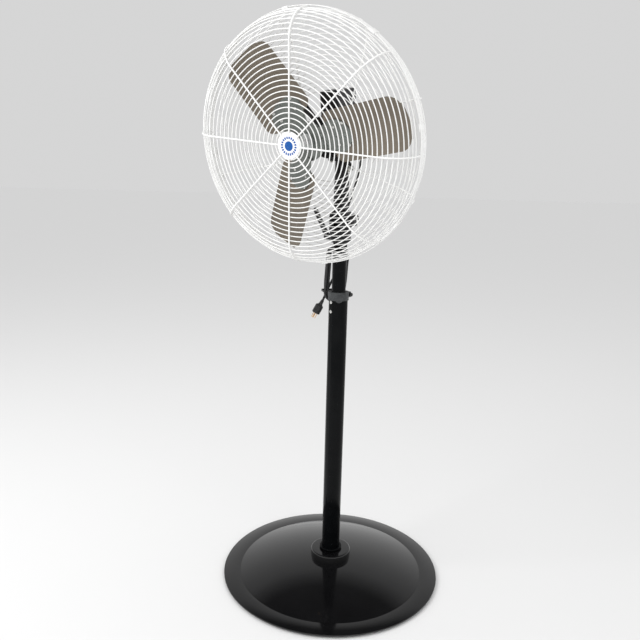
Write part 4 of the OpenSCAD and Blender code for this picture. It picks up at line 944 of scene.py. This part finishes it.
def base():
    """The cast base: a dome with a flat rim, hollow underneath, with ribs round its seat."""
    foot = RIM_H + DOME_STEP
    middle = (DOME_TOP + foot - (DOME_R ** 2 - BOSS_R ** 2) / (DOME_TOP - foot)) / 2
    radius = math.hypot(BOSS_R, DOME_TOP - middle)
    inner, wall_r, hole_r = radius - BASE_WALL, DOME_R - BASE_WALL, TUBE_R + TUBE_SLIP
    outline = [(hole_r, BOSS_TOP)]
    outline += [(BOSS_R - BOSS_EDGE + BOSS_EDGE * math.sin(a),
                 BOSS_TOP - BOSS_EDGE + BOSS_EDGE * math.cos(a))
                for a in np.linspace(0, math.pi / 2, 9)]
    outline += arc(middle, radius, BOSS_R, DOME_R, 40)
    outline += [(DOME_R, RIM_H), (BASE_R - RIM_ROUND, RIM_H),
                (BASE_R - RIM_CHAMFER, RIM_H - RIM_CHAMFER),
                (BASE_R, RIM_H - RIM_ROUND), (BASE_R, RIM_H - RIM_EDGE),
                (BASE_R - RIM_H + RIM_EDGE, 0), (wall_r, 0)]
    outline += arc(middle, inner, wall_r, CORE_R, 30)
    outline += [(CORE_R, CORE_FOOT), (BOLT_HOLE_R, CORE_FOOT), (BOLT_HOLE_R, SEAT_Z),
                (hole_r, SEAT_Z)]
    bm = bmesh.new()
    lathe(bm, outline, BASE_SIDES)

    side = arc(middle, inner + BASE_RIB_SINK, CORE_R - BASE_RIB_SINK / 2,
               wall_r + BASE_RIB_SINK / 2, 24)
    side = [(side[0][0], BASE_RIB_FOOT)] + side + [(side[-1][0], BASE_RIB_FOOT)]
    for k in range(BASE_RIBS):
        turn = Matrix.Rotation(k * 2 * math.pi / BASE_RIBS, 4, "Z")
        walls = [[bm.verts.new(turn @ Vector((r, y, z))) for r, z in side]
                 for y in (-BASE_RIB_T / 2, BASE_RIB_T / 2)]
        bm.faces.new(walls[0])
        bm.faces.new(walls[1][::-1])
        for i in range(len(side)):
            j = (i + 1) % len(side)
            bm.faces.new((walls[0][i], walls[1][i], walls[1][j], walls[0][j]))
    piece("base_casting", finished(bm, "base_casting"), "stand", "base_black", ("base",),
          sharp=28.0)


# ---------------------------------------------------------------- the CAD's own shapes, finished
# each node's finish, and how wide its edges are rounded
REFINED = {
    "stand": {
        "lower_tube": ("tube_black", 0.0006), "foot_ring": ("tube_black", 0.0),
        "clamp_collar": ("collar_grey", 0.0006)},
    "height_lock": {"height_screw": ("knob_black", 0.0004)},
    "mast": {"upper_tube": ("tube_black", 0.0005)},
    "neck": {
        "neck_socket": ("cast_black", 0.0012), "tilt_bolt": ("zinc", 0.0005),
        "cord_clip": ("strap_plastic", 0.0003), "clip_screw": ("zinc", 0.0003),
        "plug_prongs": ("brass", 0.0003)},
    "pan_lock": {"pan_lever": ("knob_black", 0.0008)},
    "tilt_lock": {"tilt_knob": ("knob_black", 0.001)},
    "head": {
        "neck_arm": ("cast_black", 0.0015), "saddle_bolts": ("zinc", 0.0004),
        "motor_shell": ("motor_black", 0.0004), "front_bell": ("bell_black", 0.0008),
        "rear_bell": ("bell_black", 0.0008), "switch_box": ("motor_black", 0.0005),
        "box_cover": ("motor_black", 0.0), "box_screws": ("zinc", 0.0003),
        "cord_gland": ("strap_plastic", 0.0004), "guard_screws": ("zinc", 0.0004),
        "rim_clips": ("guard_white", 0.0003), "badge": ("badge_white", 0.0),
        "through_bolts": ("zinc", 0.0004)},
    "switch": {"switch_knob": ("knob_black", 0.0008)},
    "rotor": {
        "hub": ("hub_alloy", 0.0006), "spider": ("spider_grey", 0.0003),
        "blade_1": ("blade_grey", 0.0003), "blade_2": ("blade_grey", 0.0003),
        "blade_3": ("blade_grey", 0.0003), "blade_rivets": ("zinc", 0.0002)},
}
# small and inner pieces keep their own shape and get a finish
PLAIN = {
    "base_bolt": "zinc", "column_plug": "bush_plastic", "guide_bush": "bush_plastic",
    "bush_screws": "zinc", "foot_bush": "bush_plastic", "stator": "laminations",
    "windings": "copper_wire", "front_bearing": "bearing_steel", "rear_bearing": "bearing_steel",
    "capacitor": "capacitor_can", "rotor_shaft": "shaft_steel", "rotor_core": "laminations",
    "hub_screw": "shaft_steel"}


def carried_over():
    """The CAD's own shapes: most of them refined, the rest only with a finish."""
    for body, nodes in REFINED.items():
        for node, (finish, bevel) in nodes.items():
            refined(node, body, finish, bevel)
    for node, finish in PLAIN.items():
        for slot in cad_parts[node].material_slots:
            slot.material = FINISHES[finish]


FINISHES = all_finishes()
camera()
studio()
carried_over()
base()
plug_body()
hank_tie()
cord()
guard()
